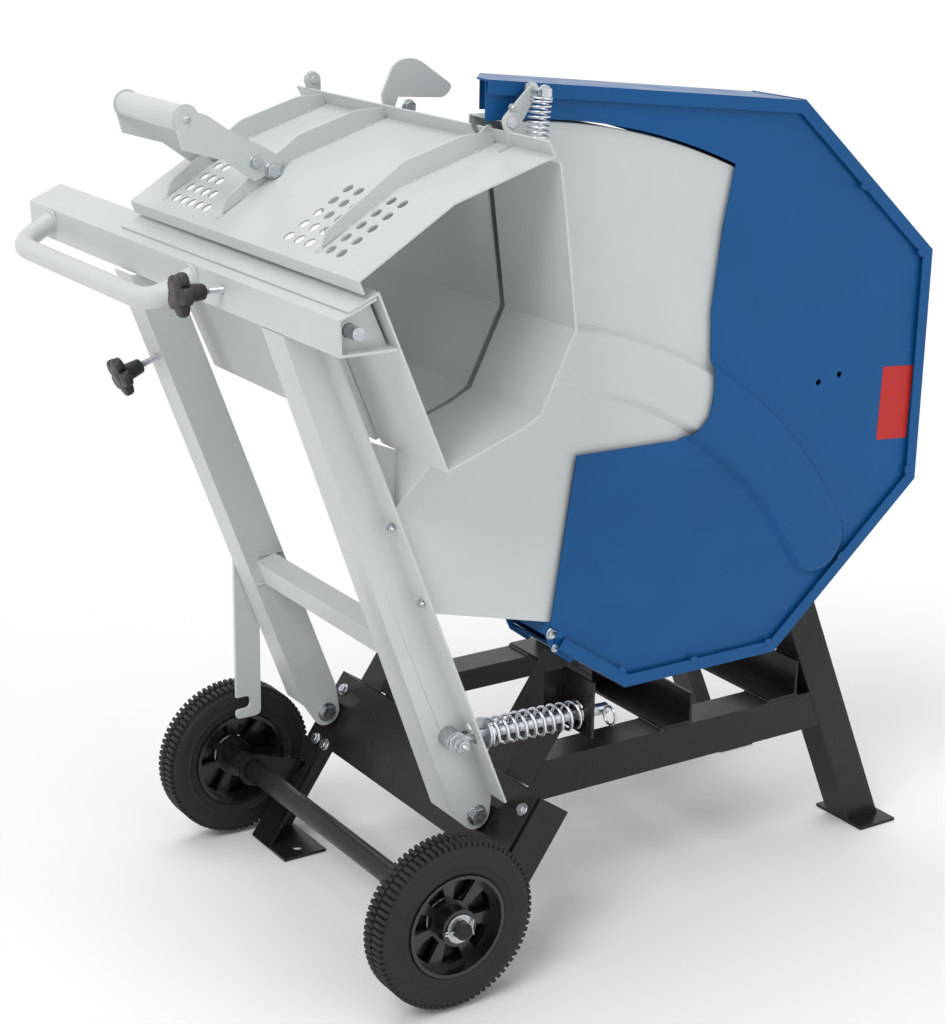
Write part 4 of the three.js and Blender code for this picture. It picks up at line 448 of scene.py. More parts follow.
def edged(piece, width):
    """Rounds the edges of a piece so that they catch the light."""
    bevel = piece.modifiers.new("edge", "BEVEL")
    bevel.width = width
    bevel.segments = 2
    bevel.limit_method = "ANGLE"
    bevel.angle_limit = math.radians(38)
    bevel.harden_normals = True
    bevel.use_clamp_overlap = True
    return piece


def seated(piece, body, replaces=()):
    """Gives a piece its body and the solids that it stands for."""
    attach(piece, body)
    if replaces:
        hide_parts(*replaces)
    return piece


def new_tree(name, inputs):
    """A node tree with named inputs, returned with its group input and output nodes."""
    tree = bpy.data.node_groups.new(name, "GeometryNodeTree")
    tree.interface.new_socket("Geometry", in_out="INPUT", socket_type="NodeSocketGeometry")
    for label, kind in inputs:
        tree.interface.new_socket(label, in_out="INPUT", socket_type=kind)
    tree.interface.new_socket("Geometry", in_out="OUTPUT", socket_type="NodeSocketGeometry")
    return tree, tree.nodes.new("NodeGroupInput"), tree.nodes.new("NodeGroupOutput")


def linked(tree, rows):
    """Makes the links of a tree; each row is (node, its output, next node, its input)."""
    for source, leaves, target, enters in rows:
        tree.links.new(source.outputs[leaves], target.inputs[enters])
    return tree


def painted(tree, start, end, source, leaves):
    """Ends a tree with the material that comes in with its inputs."""
    paint = tree.nodes.new("GeometryNodeSetMaterial")
    return linked(tree, [
        (source, leaves, paint, "Geometry"),
        (start, "Material", paint, "Material"),
        (paint, "Geometry", end, "Geometry"),
    ])


def swept_tree():
    """A round wire or tube along a line of points."""
    inputs = [("Radius", "NodeSocketFloat"), ("Sides", "NodeSocketInt"), ("Material", "NodeSocketMaterial")]
    tree, start, end = new_tree("wire_along_line", inputs)
    line = tree.nodes.new("GeometryNodeMeshToCurve")
    section = tree.nodes.new("GeometryNodeCurvePrimitiveCircle")
    sweep = tree.nodes.new("GeometryNodeCurveToMesh")
    sweep.inputs["Fill Caps"].default_value = True
    linked(tree, [
        (start, "Geometry", line, "Mesh"),
        (start, "Sides", section, "Resolution"),
        (start, "Radius", section, "Radius"),
        (line, "Curve", sweep, "Curve"),
        (section, "Curve", sweep, "Profile Curve"),
    ])
    return painted(tree, start, end, sweep, "Mesh")


def set_out_tree():
    """Copies of one small piece on points, each with its point's turn and size."""
    inputs = [("Small piece", "NodeSocketObject"), ("Material", "NodeSocketMaterial")]
    tree, start, end = new_tree("pieces_on_points", inputs)
    info = tree.nodes.new("GeometryNodeObjectInfo")
    turn, size = (tree.nodes.new("GeometryNodeInputNamedAttribute") for _ in range(2))
    for node, kind, label in ((turn, "FLOAT_VECTOR", "turn"), (size, "FLOAT", "size")):
        node.data_type = kind
        node.inputs["Name"].default_value = label
    turned = tree.nodes.new("FunctionNodeEulerToRotation")
    spread = tree.nodes.new("GeometryNodeInstanceOnPoints")
    real = tree.nodes.new("GeometryNodeRealizeInstances")
    linked(tree, [
        (start, "Small piece", info, "Object"),
        (start, "Geometry", spread, "Points"),
        (info, "Geometry", spread, "Instance"),
        (turn, "Attribute", turned, "Euler"),
        (turned, "Rotation", spread, "Rotation"),
        (size, "Attribute", spread, "Scale"),
        (spread, "Instances", real, "Geometry"),
    ])
    return painted(tree, start, end, real, "Geometry")


def perforated_tree():
    """Round holes through a sheet, one at each point, square to the named direction."""
    inputs = [
        ("Sheet", "NodeSocketObject"), ("Radius", "NodeSocketFloat"), ("Direction", "NodeSocketVector"),
        ("Material", "NodeSocketMaterial"),
    ]
    tree, start, end = new_tree("holes_through_sheet", inputs)
    info = tree.nodes.new("GeometryNodeObjectInfo")
    tool = tree.nodes.new("GeometryNodeMeshCylinder")
    tool.inputs["Vertices"].default_value = 24
    tool.inputs["Depth"].default_value = 20 * MM
    turn = tree.nodes.new("FunctionNodeAlignRotationToVector")
    turn.axis = "Z"
    spread = tree.nodes.new("GeometryNodeInstanceOnPoints")
    real = tree.nodes.new("GeometryNodeRealizeInstances")
    cut = tree.nodes.new("GeometryNodeMeshBoolean")
    cut.operation = "DIFFERENCE"
    linked(tree, [
        (start, "Sheet", info, "Object"),
        (start, "Radius", tool, "Radius"),
        (start, "Direction", turn, "Vector"),
        (start, "Geometry", spread, "Points"),
        (tool, "Mesh", spread, "Instance"),
        (turn, "Rotation", spread, "Rotation"),
        (spread, "Instances", real, "Geometry"),
        (info, "Geometry", cut, "Mesh 1"),
        (real, "Geometry", cut, "Mesh 2"),
    ])
    return painted(tree, start, end, cut, "Mesh")


TREES = {}


def with_modifiers(piece):
    """The plain mesh that a piece's modifiers make of it."""
    bpy.context.view_layer.update()
    graph = bpy.context.evaluated_depsgraph_get()
    return bpy.data.meshes.new_from_object(piece.evaluated_get(graph), depsgraph=graph)


def grown(name, source, tree, values, material):
    """Runs a node tree on a helper object and keeps the result as a plain mesh piece."""
    modifier = source.modifiers.new("grow", "NODES")
    modifier.node_group = tree
    for item in tree.interface.items_tree:
        if item.item_type == "SOCKET" and item.in_out == "INPUT" and item.name in values:
            modifier[item.identifier] = values[item.name]
    mesh = with_modifiers(source)
    bpy.data.objects.remove(source)
    return finished_mesh(name, mesh, material)


def helper(name, points, edges=()):
    mesh = bpy.data.meshes.new(name)
    mesh.from_pydata([tuple(point) for point in points], list(edges), [])
    thing = bpy.data.objects.new(name, mesh)
    bpy.context.scene.collection.objects.link(thing)
    return thing


def wire(name, lines, radius, material, sides=16):
    """One piece made of round wire along one or more lines of points."""
    points, edges = [], []
    for line in lines:
        start = len(points)
        points += line
        edges += [(start + step, start + step + 1) for step in range(len(line) - 1)]
    values = {"Radius": radius, "Sides": sides, "Material": MATERIALS[material]}
    return grown(name, helper(name + "_line", points, edges), TREES["wire"], values, material)


def set_out(name, small, places, material):
    """Copies of a small piece; a place is (point, facing, size) and may end with what its X axis follows."""
    source = helper(name + "_points", [place[0] for place in places])
    source.data.attributes.new("turn", "FLOAT_VECTOR", "POINT")
    source.data.attributes.new("size", "FLOAT", "POINT")
    turn, size = (source.data.attributes[label] for label in ("turn", "size"))
    for index, (_, facing, scale, *across) in enumerate(places):
        facing = facing.normalized()
        first = across[0] if across else facing.orthogonal()
        first = (first - facing * first.dot(facing)).normalized()
        matrix = Matrix((first, facing.cross(first), facing)).transposed()
        turn.data[index].vector = matrix.to_euler()
        size.data[index].value = scale
    values = {"Small piece": small, "Material": MATERIALS[material]}
    return grown(name, source, TREES["set_out"], values, material)


def bend(start, corner, end, steps):
    """Points on a curve from start to end that leans towards the corner."""
    shares = [step / steps for step in range(steps + 1)]
    return [start * (1 - s) ** 2 + corner * (2 * s * (1 - s)) + end * s**2 for s in shares]


def rounded(corners, radius, steps):
    """A line of points through some corners, each turned on a curve of about the given radius."""
    line = [corners[0]]
    for before, corner, after in zip(corners, corners[1:], corners[2:]):
        start = corner + (before - corner).normalized() * radius
        end = corner + (after - corner).normalized() * radius
        line += bend(start, corner, end, steps)
    line.append(corners[-1])
    return line


def straight(start, end, steps):
    return [start.lerp(end, step / steps) for step in range(steps + 1)]


# Sheet metal outlines


def from_blade(shares):
    """Places given as shares of the housing's reach and rise, from the blade axis."""
    return [(BLADE[0] + y * 326, BLADE[1] + z * 334) for y, z in shares]


def about_pivot(radius, degrees):
    angle = math.radians(degrees)
    return (PIVOT[0] + radius * math.sin(angle), PIVOT[1] + radius * math.cos(angle))


def arc(radius, start, end, steps):
    return [about_pivot(radius, start + (end - start) * step / steps) for step in range(steps + 1)]


def shifted(path, distance):
    """An open line moved to its left."""
    points = [Vector(point) for point in path]
    runs = [(end - start).normalized() for start, end in zip(points, points[1:])]
    moved = []
    for index, point in enumerate(points):
        before, after = runs[max(index - 1, 0)], runs[min(index, len(runs) - 1)]
        left = Vector((-before.y - after.y, before.x + after.x)).normalized()
        widening = left.dot(Vector((-before.y, before.x)))
        moved.append(tuple(point + left * (distance / widening)))
    return moved


HOUSING = from_blade([
    (-0.988, 1.135), (0.337, 1.003), (1, 0.434), (1, -0.434), (0.337, -1), (-0.356, -1), (-0.656, -0.8),
])
HOUSING_CUT = from_blade([
    (0.006, 0.596), (-0.028, 0.311), (-0.015, 0.018), (-0.031, -0.057), (-0.077, -0.108),
    (-0.153, -0.132), (-0.589, -0.126), (-0.681, -0.707),
])
TROUGH = from_pivot([
    (-0.36, 0.98), (-0.309, 1.0025), (-0.183, 0.706), (-0.045, 0.755), (-0.006, 0.775), (0.06, 0.909),
    (0.033, 1.105), (0.021, 1.178),
])
GAP = 0.3


def cut_corners(outline, radius, which):
    """Rounds the named corners of an outline."""
    result = []
    count = len(outline)
    for index, corner in enumerate(outline):
        if index not in which:
            result.append(corner)
            continue
        before, here, after = (Vector(outline[(index + step) % count]) for step in (-1, 0, 1))
        reach = min(radius, (before - here).length * 0.45, (after - here).length * 0.45)
        start = here + (before - here).normalized() * reach
        end = here + (after - here).normalized() * reach
        result += [tuple(point) for point in bend(start, here, end, 6)]
    return result


BAND_FLANK = 10  # width of a pressed band's slope


def band_height(point, inner, outer, start, last):
    """Share of the full height of a pressed band at a point, with sloping flanks and a rounded end."""
    away = Vector(point) - Vector(PIVOT)
    degrees = math.degrees(math.atan2(away.x, away.y))
    middle, half = (inner + outer) / 2, (outer - inner) / 2
    if degrees > last:
        reach = (Vector(point) - Vector(about_pivot(middle, last))).length
    else:
        reach = abs(away.length - middle)
    share = max(0.0, min(1.0, (half - reach) / BAND_FLANK))
    lead = max(0.0, min(1.0, (degrees - start) / 6))
    return share * share * (3 - 2 * share) * lead


def pressed_plate(name, outline, low, band, holes, material):
    """A 2 mm plate with a raised band pressed into it, cut to its outline."""
    inner, outer, start, end, rise = band
    corners = [Vector(point) - Vector(PIVOT) for point in outline]
    reach = max(corner.length for corner in corners) + 4
    turns = [math.degrees(math.atan2(corner.x, corner.y)) for corner in corners]
    radii = [150 + step * 24 for step in range(14)]
    radii += [inner - 6 + step * 3.2 for step in range(int((outer - inner + 12) / 3.2) + 2)]
    radii += [radius for radius in (outer + 22 + step * 24 for step in range(20)) if radius < reach + 24]
    radii = sorted(radius for radius in radii if radius <= inner - 8 or radius >= inner - 6)
    degrees, at_degrees = [], min(turns) - 1.5
    cap = end - math.degrees((outer - inner) / 2 / ((outer + inner) / 2))
    while at_degrees < max(turns) + 2:
        degrees.append(at_degrees)
        fine = cap - 1 < at_degrees < end + 1 or start - 1 < at_degrees < start + 7
        at_degrees += 0.4 if fine else 1.5
    form = Form()
    for depth in (low, low + 2):
        form.points += [
            at(depth + rise * band_height(about_pivot(r, d), inner, outer, start, cap), *about_pivot(r, d))
            for d in degrees
            for r in radii
        ]
    rows, width = len(degrees), len(radii)
    layer = rows * width

    def cell(row, column, level):
        return level * layer + row * width + column

    for row in range(rows - 1):
        for column in range(width - 1):
            face = [cell(row, column, 0), cell(row + 1, column, 0)]
            face += [cell(row + 1, column + 1, 0), cell(row, column + 1, 0)]
            form.faces.append(tuple(face[::-1]))
            form.faces.append(tuple(corner + layer for corner in face))
    rim = [(0, column) for column in range(width)] + [(row, width - 1) for row in range(1, rows)]
    rim += [(rows - 1, column) for column in range(width - 2, -1, -1)]
    rim += [(row, 0) for row in range(rows - 2, 0, -1)]
    for (row, column), (row_to, column_to) in zip(rim, rim[1:] + rim[:1]):
        form.faces.append((
            cell(row, column, 0), cell(row_to, column_to, 0),
            cell(row_to, column_to, 1), cell(row, column, 1),
        ))
    sheet = form.made(name + "_sheet", material)
    tool = Form().prism(outline, low - 6, low + 20).made(name + "_tool", material)
    sheet = joined_by("INTERSECT", sheet, tool)
    for index, (middle, radius) in enumerate(holes):
        drill = Form().prism(circle(middle, radius, 32), low - 6, low + 20)
        sheet = joined_by("DIFFERENCE", sheet, drill.made(f"{name}_drill_{index}", material))
    return renewed(name, sheet, material, 30)


def renewed(name, piece, material, smooth_angle=35):
    """A cut piece under its last name, with its mesh finished again."""
    mesh = piece.data.copy()
    bpy.data.objects.remove(piece)
    return finished_mesh(name, mesh, material, smooth_angle)


def joined_by(operation, piece, tool):
    """Applies a boolean of two closed meshes to the first and drops the second."""
    cutter = piece.modifiers.new("cut", "BOOLEAN")
    cutter.operation = operation
    cutter.object = tool
    cutter.solver = "EXACT"
    mesh = with_modifiers(piece)
    piece.modifiers.clear()
    piece.data = mesh
    bpy.data.objects.remove(tool)
    return piece


OUT_NEAR = Vector((1, 0, 0))
OUT_FAR = Vector((-1, 0, 0))
UP = Vector((0, 0, 1))
PANEL_LEAN = math.radians(34.5)
PANEL_OUT = Vector((0, -math.cos(PANEL_LEAN), math.sin(PANEL_LEAN)))
PANEL_UP = Vector((0, math.sin(PANEL_LEAN), math.cos(PANEL_LEAN)))
THREAD_STEP = 1.25


def hex_head(across=7.5, high=5.3, washer=9.5, thick=1.6, stub=0):
    """Bolt head or nut on a washer, standing on the origin along Z."""
    form = Form()
    top = thick + high
    ring = [(0, -1), (washer, -1), (washer, thick * 0.7), (washer - 0.5, thick), (0, thick)]
    form.turned(ring, Vector(), UP, 40)
    body = [(0, thick), (across, thick), (across, thick + high * 0.84), (across * 0.87, top), (0, top)]
    form.turned(body, Vector(), UP, 6)
    if stub:
        thread = [(0, top - 1), (across * 0.52, top - 1)]
        for turn in range(int(stub / THREAD_STEP)):
            here = top + turn * THREAD_STEP
            thread += [(across * 0.52, here), (across * 0.46, here + 0.6)]
        thread += [(across * 0.36, top + stub), (0, top + stub)]
        form.turned(thread, Vector(), UP, 24)
    return form


def fasteners(name, form, places, material, body, edge=0):
    """One piece that holds every fastener of a kind on a body; each place is as set_out takes it."""
    small = form.made(name + "_small", material)
    if edge:
        edged(small, edge)
    piece = set_out(name, small, places, material)
    bpy.data.objects.remove(small)
    return seated(piece, body)


# Faces of a small block whose points are its foot's four corners and then its top's.
BLOCK = [(3, 2, 1, 0), (4, 5, 6, 7), (0, 1, 5, 4), (1, 2, 6, 5), (2, 3, 7, 6), (3, 0, 4, 7)]


def dress_solids(sizes):
    """Every solid gets its finish, merged corners and rounded edges."""
    tree, start, end = new_tree("solid_finish", [])
    merge = tree.nodes.new("GeometryNodeMergeByDistance")
    merge.inputs["Distance"].default_value = 0.01 * MM
    round_faces = tree.nodes.new("GeometryNodeSetShadeSmooth")
    sharp = tree.nodes.new("GeometryNodeSetShadeSmooth")
    sharp.domain = "EDGE"
    angle = tree.nodes.new("GeometryNodeInputMeshEdgeAngle")
    limit = tree.nodes.new("FunctionNodeCompare")
    limit.data_type = "FLOAT"
    limit.operation = "LESS_THAN"
    limit.inputs["B"].default_value = math.radians(32)
    linked(tree, [
        (start, "Geometry", merge, "Geometry"),
        (merge, "Geometry", round_faces, "Geometry"),
        (round_faces, "Geometry", sharp, "Geometry"),
        (angle, "Unsigned Angle", limit, "A"),
        (limit, "Result", sharp, "Shade Smooth"),
        (sharp, "Geometry", end, "Geometry"),
    ])
    for name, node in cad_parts.items():
        slot = node.data.materials[0].name.split(".")[0]
        node.material_slots[0].link = "OBJECT"
        node.material_slots[0].material = MATERIALS[slot]
        tidy = node.modifiers.new("merged", "NODES")
        tidy.node_group = tree
        if name not in ("rim_near", "rim_far", "transport_hook"):
            edged(node, sizes.edge_round)


class SAW_OT_solids(bpy.types.Operator):
    """Gives every solid its finish and rounded edges"""

    bl_idname = "saw.solids"
    bl_label = "Finish the solids"

    def execute(self, context):
        make_materials(context.scene.saw_colours)
        TREES["wire"] = swept_tree()
        TREES["set_out"] = set_out_tree()
        TREES["holes"] = perforated_tree()
        dress_solids(context.scene.saw_sizes)
        return {"FINISHED"}


class SAW_OT_tyres(bpy.types.Operator):
    """Makes the two solid tyres with their rows of tread blocks"""

    bl_idname = "saw.tyres"
    bl_label = "Tyres"

    def execute(self, context):
        sizes = context.scene.saw_sizes
        depth = sizes.tread_depth / MM
        base = 99.8 - depth
        half = [
            (60.5, 0), (60.5, 15), (61.5, 17.5), (64, 18.6), (69, 19.4), (71, 19.4), (71.6, 20.4),
            (73, 20.6), (74.2, 19.8), (80, 20.7), (86, 20.4), (91, 19.4), (94, 18), (base, 16),
            (base, 1.1), (base - 1.6, 0.6), (base - 1.6, 0),
        ]
        profile = half + [(radius, -along) for radius, along in half[-2:0:-1]]
        block = Form()
        pitch = 2 * math.pi * base / sizes.tread_blocks
        wide, long = pitch * 0.31, 17.4
        lower = [(-wide * 1.16, 1.2), (wide * 1.16, 1.2), (wide * 1.16, long), (-wide * 1.16, long + 1.4)]
        upper = [(-wide, 1.5), (wide, 1.5), (wide, long - 1.2), (-wide, long - 0.4)]
        points = [Vector((along, across, -3)) * MM for across, along in lower]
        points += [Vector((along, across, depth)) * MM for across, along in upper]
        block.add(points, BLOCK)
        for body, middle in (("wheel_near", WHEEL_X), ("wheel_far", -WHEEL_X)):
            name = "tyre_" + body[6:]
            ring = Form().turned(profile, at(middle, 0, AXLE_HEIGHT), OUT_NEAR, 128)
            ring.made(name + "_ring", "tyre")
            small = block.made(name + "_block", "tyre")
            edged(small, 0.5 * MM)
            places = []
            for side in (1, -1):
                for index in range(sizes.tread_blocks):
                    angle = 2 * math.pi * (index + (0.5 if side < 0 else 0)) / sizes.tread_blocks
                    out = Vector((0, math.cos(angle), math.sin(angle)))
                    place = at(middle, 0, AXLE_HEIGHT) + out * (base * MM)
                    places.append((place, out, 1.0, OUT_NEAR * side))
            tread = set_out(name + "_tread", small, places, "tyre")
            bpy.data.objects.remove(small)
            piece = merged(name + "_dressed", [bpy.data.objects[name + "_ring"], tread], "tyre")
            seated(piece, body, [name])
            section = [(24, -1.2), (59, -1.2), (59, 1.2), (24, 1.2)]
            web = Form().turned(section, at(middle - 10, 0, AXLE_HEIGHT), OUT_NEAR, 96)
            seated(web.made("rim_web" + body[5:], "rim_plastic"), body)
        return {"FINISHED"}


def merged(name, pieces, material):
    """Puts several pieces into one."""
    work = bmesh.new()
    for piece in pieces:
        work.from_mesh(piece.data)
        bpy.data.objects.remove(piece)
    mesh = bpy.data.meshes.new(name)
    work.to_mesh(mesh)
    work.free()
    return finished_mesh(name, mesh, material)


class SAW_OT_wheel_pins(bpy.types.Operator):
    """Bends the split pins that hold the wheels"""

    bl_idname = "saw.wheel_pins"
    bl_label = "Split pins"

    def execute(self, context):
        for end, side in (("near", 1), ("far", -1)):
            x = side * 288.1
            shank = [at(x, -15.5, AXLE_HEIGHT), at(x, 11, AXLE_HEIGHT)]
            legs = []
            for lift in (9, -9):
                knee = at(x + side * 0.5, 13.5, AXLE_HEIGHT + lift / 3)
                legs.append([at(x, 10.5, AXLE_HEIGHT), knee, at(x, 15.5, AXLE_HEIGHT + lift)])
            eye = []
            for turn in range(-160, 170, 20):
                angle = math.radians(turn)
                eye.append(at(x + side * 3.4 * math.sin(angle), -19 - 3.4 * math.cos(angle), AXLE_HEIGHT))
            pin = wire(f"split_pin_{end}", [eye, shank, *legs], MM, "zinc", 12)
            seated(pin, "frame")
        return {"FINISHED"}


def coil_line(foot, along, radius, length, turns, end_turns, per_turn=40):
    """Points of a compression coil with closed end turns."""
    along = along.normalized()
    across = along.orthogonal().normalized()
    third = along.cross(across)
    steps = int(turns * per_turn)
    travel = [0.0]
    for step in range(steps):
        turn = (step + 0.5) / per_turn
        near_end = min(turn, turns - turn)
        travel.append(travel[-1] + (0.35 if near_end < end_turns * 0.8 else 1.0))
    line = []
    for step, far in enumerate(travel):
        angle = 2 * math.pi * step / per_turn
        out = across * math.cos(angle) + third * math.sin(angle)
        line.append(foot + along * (far / travel[-1] * length) + out * radius)
    return line


class SAW_OT_springs(bpy.types.Operator):
    """Winds the return spring and the lid spring"""

    bl_idname = "saw.springs"
    bl_label = "Springs"

    def execute(self, context):
        sides = context.scene.saw_sizes.wire_sides
        lean = math.radians(2)
        along = Vector((0, math.cos(lean), -math.sin(lean)))
        bolt = at(180, 54.2, 279.5)
        foot = bolt + along * (44.4 * MM)
        line = coil_line(foot, along, 16 * MM, 126.6 * MM, 11, 1)
        coil = wire("return_spring_wound", [line], 2 * MM, "chrome", sides)
        seated(coil, "spring_rod", ["return_spring"])
        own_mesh(coil)

        start, end = at(222.9, 118.4, 943.55), at(222.9, 125.55, 1000.75)
        along = (end - start).normalized()
        foot = start + along * (5.3 * MM)
        length = (end - start).length - 10.6 * MM
        line = coil_line(foot, along, 11 * MM, length, 10, 1)
        hooks = [
            [line[0], foot.lerp(line[0], 0.5) - along * MM] + [foot - along * (far * MM) for far in (2, 4.6)],
            [line[-1], foot + along * (length + 0.6 * MM), foot + along * (length + 4 * MM)],
        ]
        coil = wire("lid_spring_wound", [line, *hooks], MM, "chrome", sides)
        seated(coil, "rocker", ["lid_spring"])
        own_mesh(coil)
        return {"FINISHED"}


LID = from_pivot([(-0.332, 1.007), (-0.34, 1.026), (-0.175, 1.128), (0.011, 1.188), (-0.003, 1.214)])
LID_RIB = from_pivot([
    (-0.318, 1.045), (-0.306, 1.074), (-0.168, 1.171), (-0.054, 1.206), (0.003, 1.208), (0.003, 1.186),
    (-0.175, 1.1275),
])
LID_TAB = from_pivot([
    (-0.003, 1.229), (0.023, 1.286), (0.065, 1.291), (0.143, 1.238), (0.126, 1.218), (0.03, 1.224),
    (0.021, 1.198), (0.004, 1.19),
])
LID_EAR = from_pivot([(-0.003, 1.2145), (0.005, 1.19), (0.02, 1.214), (0.058, 1.274), (0.045, 1.286)])
HINGE = (98.25, 970.2)
SPRING_PIN = (125.55, 1000.75)
RIB_PLACES = (-185, -47, 176)


class SAW_OT_lid(bpy.types.Operator):
    """Folds the perforated lid with its ribs, ears and tab"""

    bl_idname = "saw.lid"
    bl_label = "Lid"

    def execute(self, context):
        sizes = context.scene.saw_sizes
        sheet = LID + shifted(LID, 2)[::-1]
        plate = Form().prism(sheet, -243, 285).made("lid_plate", "grey_paint")
        slope = (Vector(LID[2]) - Vector(LID[1])).normalized()
        facing = Vector((0, -slope.y, slope.x))
        places = []
        rows = [-0.308, -0.281, -0.254, -0.227, -0.2]
        for start, step, counts in ((-164, 19, (5, 4, 3, 2)), (104, 22, (6, 6, 6, 6, 6))):
            for row, count in enumerate(counts):
                y = PIVOT[0] + rows[row] * ROCKER_HEIGHT
                z = LID[1][1] + (y - LID[1][0]) / slope.x * slope.y
                for index in range(count):
                    x = start + index * step
                    if all(abs(x - rib - 1.5) >= 9.5 for rib in RIB_PLACES):
                        places.append(at(x, y, z))
        values = {"Sheet": plate, "Radius": sizes.hole_radius, "Direction": tuple(facing)}
        values["Material"] = MATERIALS["grey_paint"]
        sheet = grown("lid_sheet", helper("lid_holes", places), TREES["holes"], values, "grey_paint")
        bpy.data.objects.remove(plate)
        slot = Form().prism([(141, 17), (153, 17), (153, 200), (141, 200)], 900, 1010, 2)
        sheet = joined_by("DIFFERENCE", sheet, slot.made("lid_slot", "grey_paint"))
        for index, low in enumerate((206.0, -219.6)):
            notch = Form().prism(circle(HINGE, 34, 48), low, low + 4.6)
            sheet = joined_by("DIFFERENCE", sheet, notch.made(f"lid_notch_{index}", "grey_paint"))
        sheet = renewed("lid_sheet", sheet, "grey_paint")
        edged(seated(sheet, "lid", ["lid"]), 0.5 * MM)

        near_ear = wrapped(LID_EAR + circle(HINGE, 9.4, 32))
        far_ear = wrapped(LID_EAR[:3] + circle(HINGE, 9.4, 32))
        tab = cut_corners(LID_TAB, 14, (1, 2, 3, 4))
        braces = Form()
        for low in RIB_PLACES:
            braces.prism(cut_corners(LID_RIB, 5, (1, 2, 3)), low, low + 3)
        edged(seated(braces.made("lid_ribs", "grey_paint"), "lid"), 0.6 * MM)
        ears = Form().prism(near_ear, 203, 206).prism(far_ear, -215, -212).prism(tab, -49, -45)
        ears.prism(wrapped(circle((76, 945), 6, 16) + circle((92, 958), 6, 16)), 173, 176)
        edged(seated(ears.made("lid_ears", "grey_paint"), "lid"), 0.6 * MM)

        top = shifted(LID, 2)
        points = []
        for z, reach in ((-1, 4.6), (1.6, 3.8)):
            for x, y in ((-1.9, -reach), (1.9, -reach), (1.9, reach), (-1.9, reach)):
                points.append(Vector((x, y, z)) * MM)
        places = []
        for low in RIB_PLACES:
            for first in (1, 2):
                start, end = Vector(top[first]), Vector(top[first + 1])
                along = (end - start).normalized()
                for share in (0.16, 0.48, 0.8):
                    foot = start.lerp(end, share)
                    for x in (low - 1.1, low + 4.1):
                        places.append((at(x, *foot), Vector((0, -along.y, along.x)), 1.0, OUT_NEAR))
        tack = Form().add(points, BLOCK)
        fasteners("lid_tack_welds", tack, places, "grey_weld", "lid", 0.5 * MM)

        bolt = hex_head(8.7, 5)
        arm = from_pivot([(-0.224, 1.116)])[0]
        places = [
            (at(-37, *arm), OUT_NEAR, 1.0), (at(-196, *arm), OUT_FAR, 1.0),
            (at(-45, 128, 956), OUT_NEAR, 0.9), (at(206, *HINGE), OUT_NEAR, 0.9),
            (at(226.4, *SPRING_PIN), OUT_NEAR, 0.85), (at(203, *SPRING_PIN), OUT_FAR, 0.9),
            (at(-37, -71, 908), OUT_NEAR, 0.8), (at(-182, -50, 897), OUT_NEAR, 0.8),
            (at(-182, -71, 908), OUT_NEAR, 0.8),
        ]
        fasteners("lid_bolts", bolt, places, "zinc", "lid")
        pin = Form().turned([(0, -26), (3.4, -26), (3.4, 1), (0, 1)], at(226, *SPRING_PIN), OUT_NEAR, 24)
        seated(pin.made("lid_spring_pin", "zinc"), "lid")
        return {"FINISHED"}


class SAW_OT_lift_handle(bpy.types.Operator):
    """Closes the ends of the lift handle's grip with screws and lays its weld beads"""

    bl_idname = "saw.lift_handle"
    bl_label = "Lift handle"

    def execute(self, context):
        middle = from_pivot([(-0.38, 1.21)])[0]
        places = [(at(-37, *middle), OUT_NEAR, 1.0), (at(-196, *middle), OUT_FAR, 1.0)]
        profile = [(0, -1), (4.4, -1), (4.4, 0.5), (3.4, 1.5), (1.9, 1.8), (1.9, 0.4), (0, 0.4)]
        screw = Form().turned(profile, Vector(), UP, 32)
        fasteners("lift_handle_screws", screw, places, "zinc", "lift_handle")
        collars = [ring for x in (-41.6, -191.4) for ring in closed_rings(x, middle, [14.6], 40)]
        bead = wire("lift_handle_welds", collars, 1.6 * MM, "grey_weld", 8)
        seated(bead, "lift_handle")
        return {"FINISHED"}


class SAW_OT_push_handle(bpy.types.Operator):
    """Bends the round push handle"""

    bl_idname = "saw.push_handle"
    bl_label = "Push handle"

    def execute(self, context):
        far, near = -428, -36
        inside, root, grip = (-145, 792.2), (-150.8, 788.85), (-198.8, 764.85)
        corners = [at(far, *inside), at(far, *root), at(far, *grip)]
        corners += [at(near, *grip), at(near, *root), at(near, *inside)]
        line = [corners[0]] + rounded(corners[1:5], 44 * MM, 16) + [corners[5]]
        tube = wire("push_handle_tube", [line], 12.5 * MM, "grey_paint", 40)
        seated(tube, "rocker", ["push_handle"])
        rings = []
        for x in (far, near):
            ring = [at(x + dx, -150.6 - 0.24 * (dz - 789), dz) for dx, dz in circle((0, 789), 13.2, 40)]
            rings.append(ring + ring[:2])
        bead = wire("push_handle_welds", rings, 2 * MM, "grey_weld", 10)
        seated(bead, "rocker")
        return {"FINISHED"}


